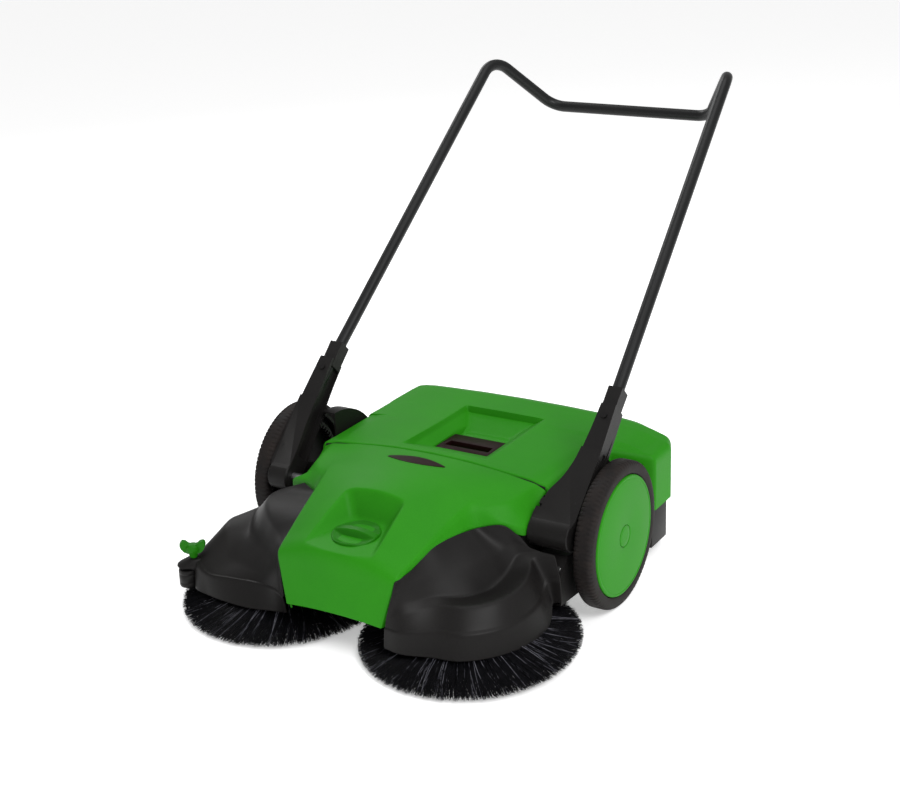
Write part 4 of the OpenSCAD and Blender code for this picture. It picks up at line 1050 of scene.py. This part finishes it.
# ---------------------------------------------------------------- height knob
def height_knob():
    """A round dial with a straight bar left standing between two scooped hollows."""
    rim, rounding, base, bore = 43.5, 3.0, -8.0, 6.2
    flat = rim - rounding
    steps = 240
    arc = rounding * np.sin(np.linspace(0.12, math.pi / 2, 8))
    radii = np.concatenate([np.linspace(TINY, flat, 60), flat + arc])
    turn = np.linspace(0, 2 * math.pi, steps, endpoint=False)
    rr, tt = np.meshgrid(radii, turn, indexing="ij")
    x, y = rr * np.cos(tt), rr * np.sin(tt)
    crown = 9.5 - 7.5 * (np.abs(x) / rim) ** 2.2
    across = np.abs(y) - 6.5
    scoop = -3.4 + 0.0030 * x**2
    side = crown - soft_max(across * 1.9, np.zeros_like(x), 3.0)
    z = soft_max(side, scoop, 2.0)
    far = np.clip((np.abs(y) - 24) / 16, 0, 1)
    z = z + 5.0 * far**2
    round_off = np.clip((rr - flat) / rounding, 0, 1)
    z = z - rounding * (1 - np.sqrt(np.clip(1 - round_off**2, 0, 1)))
    top = np.stack([x, y, z], -1)
    # Skirt, underside and the seat of the screw, as rings of a radius and a height
    below = [np.stack([r * np.cos(turn), r * np.sin(turn), np.full(steps, h)], -1) for r, h in
             ((rim, -4.0), (rim, base), (30.0, base), (bore, base), (bore, -5.0), (TINY, -5.0))]
    g = np.concatenate([top, np.array(below)])
    pts = knob_place(g).reshape(-1, 3)
    ob = mesh_object("height_dial", pts, grid_faces(len(g), steps, 0, False, True), GREEN_SMOOTH)
    recalc(ob)
    shade(ob, 40)
    return ob


ride(height_knob(), "knob", "height_knob")


# ---------------------------------------------------------------- edge guide roller
def wing_knob():
    """Two wings on a waisted hub."""
    wing = [(-9, 103), (-16, 106), (-21, 112), (-23, 118), (-22.5, 124), (-19, 126.6), (-13, 125.5),
            (-9, 121.5), (-4, 119.5)]
    wing += [(-x, z) for x, z in wing[::-1]]
    n = len(wing)
    a = math.radians(30)
    half = 6.0
    pts = []
    for t in (-half, half):
        for x, z in wing:
            across = x * math.cos(a) + t * math.sin(a)
            along = x * math.sin(a) - t * math.cos(a)
            pts.append((across + STEM[0], along + STEM[1], z))
    faces = [list(range(n)), list(range(n, 2 * n))[::-1]]
    faces += [[k, (k + 1) % n, n + (k + 1) % n, n + k] for k in range(n)]
    ob = mesh_object("wing_knob", pts, faces, GREEN_SMOOTH, False)
    recalc(ob)
    hub = lathe("hub", [(TINY, 94.6), (6.5, 94.6), (7.5, 97), (8.5, 102), (12.5, 107), (14, 112), (12.5, 117),
                        (8, 120), (TINY, 121)], GREEN_SMOOTH, False, (*STEM, 0), 72)
    recalc(hub)
    boolean(ob, hub, "UNION")
    bevelled(ob, 1.6, 3, 45)
    return ob


ride(wing_knob(), "guide_clamp", "guide_knob")
roller = lathe("edge_roller", [(3.2, 38), (14, 38), (16.6, 38.6), (GUIDE_R, 41), (GUIDE_R, 46), (17.0, 47),
                               (GUIDE_R, 48), (GUIDE_R, 62), (17.0, 63), (GUIDE_R, 64), (GUIDE_R, 69),
                               (16.6, 71.4), (14, 72), (3.2, 72)],
               BLACK_SMOOTH, False, (*GUIDE, 0), 96)
recalc(roller)
shade(roller, 40)
ride(roller, "guide_wheel", "guide_roller")

# ---------------------------------------------------------------- CAD pieces that stay
# The first key found in a node's name gives its material
STAYING = {
    "chassis_frame": BLACK, "right_wheel_guard": BLACK, "left_belt_cover": BLACK,
    "right_belt_cover": BLACK, "wheel_axles": STEEL, "handle_pivot_pins": STEEL, "shaft_bearings": BRONZE,
}
KEYS = (("tyre", TYRE), ("rim", BLACK), ("belt", RUBBER), ("pinion_shaft", STEEL), ("bevel_shaft", STEEL),
        ("spindle", STEEL), ("drive_pinion", CREAM), ("bevel", CREAM), ("handle_screws", BLACK_SMOOTH),
        ("screw", STEEL), ("pin", STEEL), ("lever", STEEL), ("lip", RUBBER), ("core", BLACK),
        ("plate", BLACK), ("guide_arm", BLACK), ("support_roller", RUBBER), ("bristles", BRISTLE))
for name, ob in nodes.items():
    chosen = STAYING.get(name)
    if chosen is None:
        chosen = next((m for key, m in KEYS if key in name), BLACK)
    ob.data.materials.clear()
    ob.data.materials.append(chosen)

# ---------------------------------------------------------------- camera, floor, light
AZ, EL, ROLL = math.radians(31.988), math.radians(20.593), math.radians(-2.299)
back = Vector((math.sin(AZ) * math.cos(EL), -math.cos(AZ) * math.cos(EL), math.sin(EL)))
right0 = Vector((0, 0, 1)).cross(back).normalized()
up0 = back.cross(right0)
right = math.cos(ROLL) * right0 + math.sin(ROLL) * up0
up = -math.sin(ROLL) * right0 + math.cos(ROLL) * up0
camera = bpy.data.cameras.new("camera")
camera.lens = 64.55
camera.sensor_width = 36.0
camera.clip_end = 50.0
view = bpy.data.objects.new("camera", camera)
bpy.context.scene.collection.objects.link(view)
turn = Matrix((right, up, back)).transposed().to_4x4()
view.matrix_world = Matrix.Translation((1.4776, -2.5243, 1.3691)) @ turn
bpy.context.scene.camera = view

floor_mesh = bpy.data.meshes.new("floor")
FLOOR_HALF = 30
corners = [(i * FLOOR_HALF, j * FLOOR_HALF, 0) for i, j in ((-1, -1), (1, -1), (1, 1), (-1, 1))]
floor_mesh.from_pydata(corners, [], [(0, 1, 2, 3)])
floor = bpy.data.objects.new("floor", floor_mesh)
bpy.context.scene.collection.objects.link(floor)
floor_material, _, floor_shader = new_material("floor_white", 0.7)
floor_shader.inputs["Base Color"].default_value = (1.0, 1.0, 1.0, 1)
floor_shader.inputs["Specular IOR Level"].default_value = 0.1
floor_shader.inputs["Emission Color"].default_value = (1, 1, 1, 1)
floor_shader.inputs["Emission Strength"].default_value = 0.42
floor_mesh.materials.append(floor_material)


def area_light(name, at, target, size, watts):
    lamp = bpy.data.lights.new(name, "AREA")
    lamp.shape = "DISK"
    lamp.size = size
    lamp.energy = watts
    ob = bpy.data.objects.new(name, lamp)
    bpy.context.scene.collection.objects.link(ob)
    ob.location = at
    ob.rotation_euler = (Vector(target) - Vector(at)).to_track_quat("-Z", "Y").to_euler()


area_light("key", (2.6, -1.6, 3.0), (0, -0.1, 0.2), 1.8, 85)
area_light("rim", (-2.4, 1.6, 2.6), (0, -0.1, 0.2), 1.8, 26)
area_light("top", (0.2, 0.3, 4.0), (0, 0, 0.2), 2.6, 34)
world = bpy.data.worlds.new("studio")
world.use_nodes = True
# The backdrop is bright, and lights the sweeper a little less than it shows
sky = world.node_tree.nodes["Background"]
sky.inputs["Color"].default_value = (1, 1, 1, 1)
path = world.node_tree.nodes.new("ShaderNodeLightPath")
power = world.node_tree.nodes.new("ShaderNodeMapRange")
power.inputs["To Min"].default_value = 0.50
power.inputs["To Max"].default_value = 0.97
world.node_tree.links.new(path.outputs["Is Camera Ray"], power.inputs["Value"])
world.node_tree.links.new(power.outputs["Result"], sky.inputs["Strength"])
bpy.context.scene.world = world
bpy.context.scene.view_settings.view_transform = "Standard"
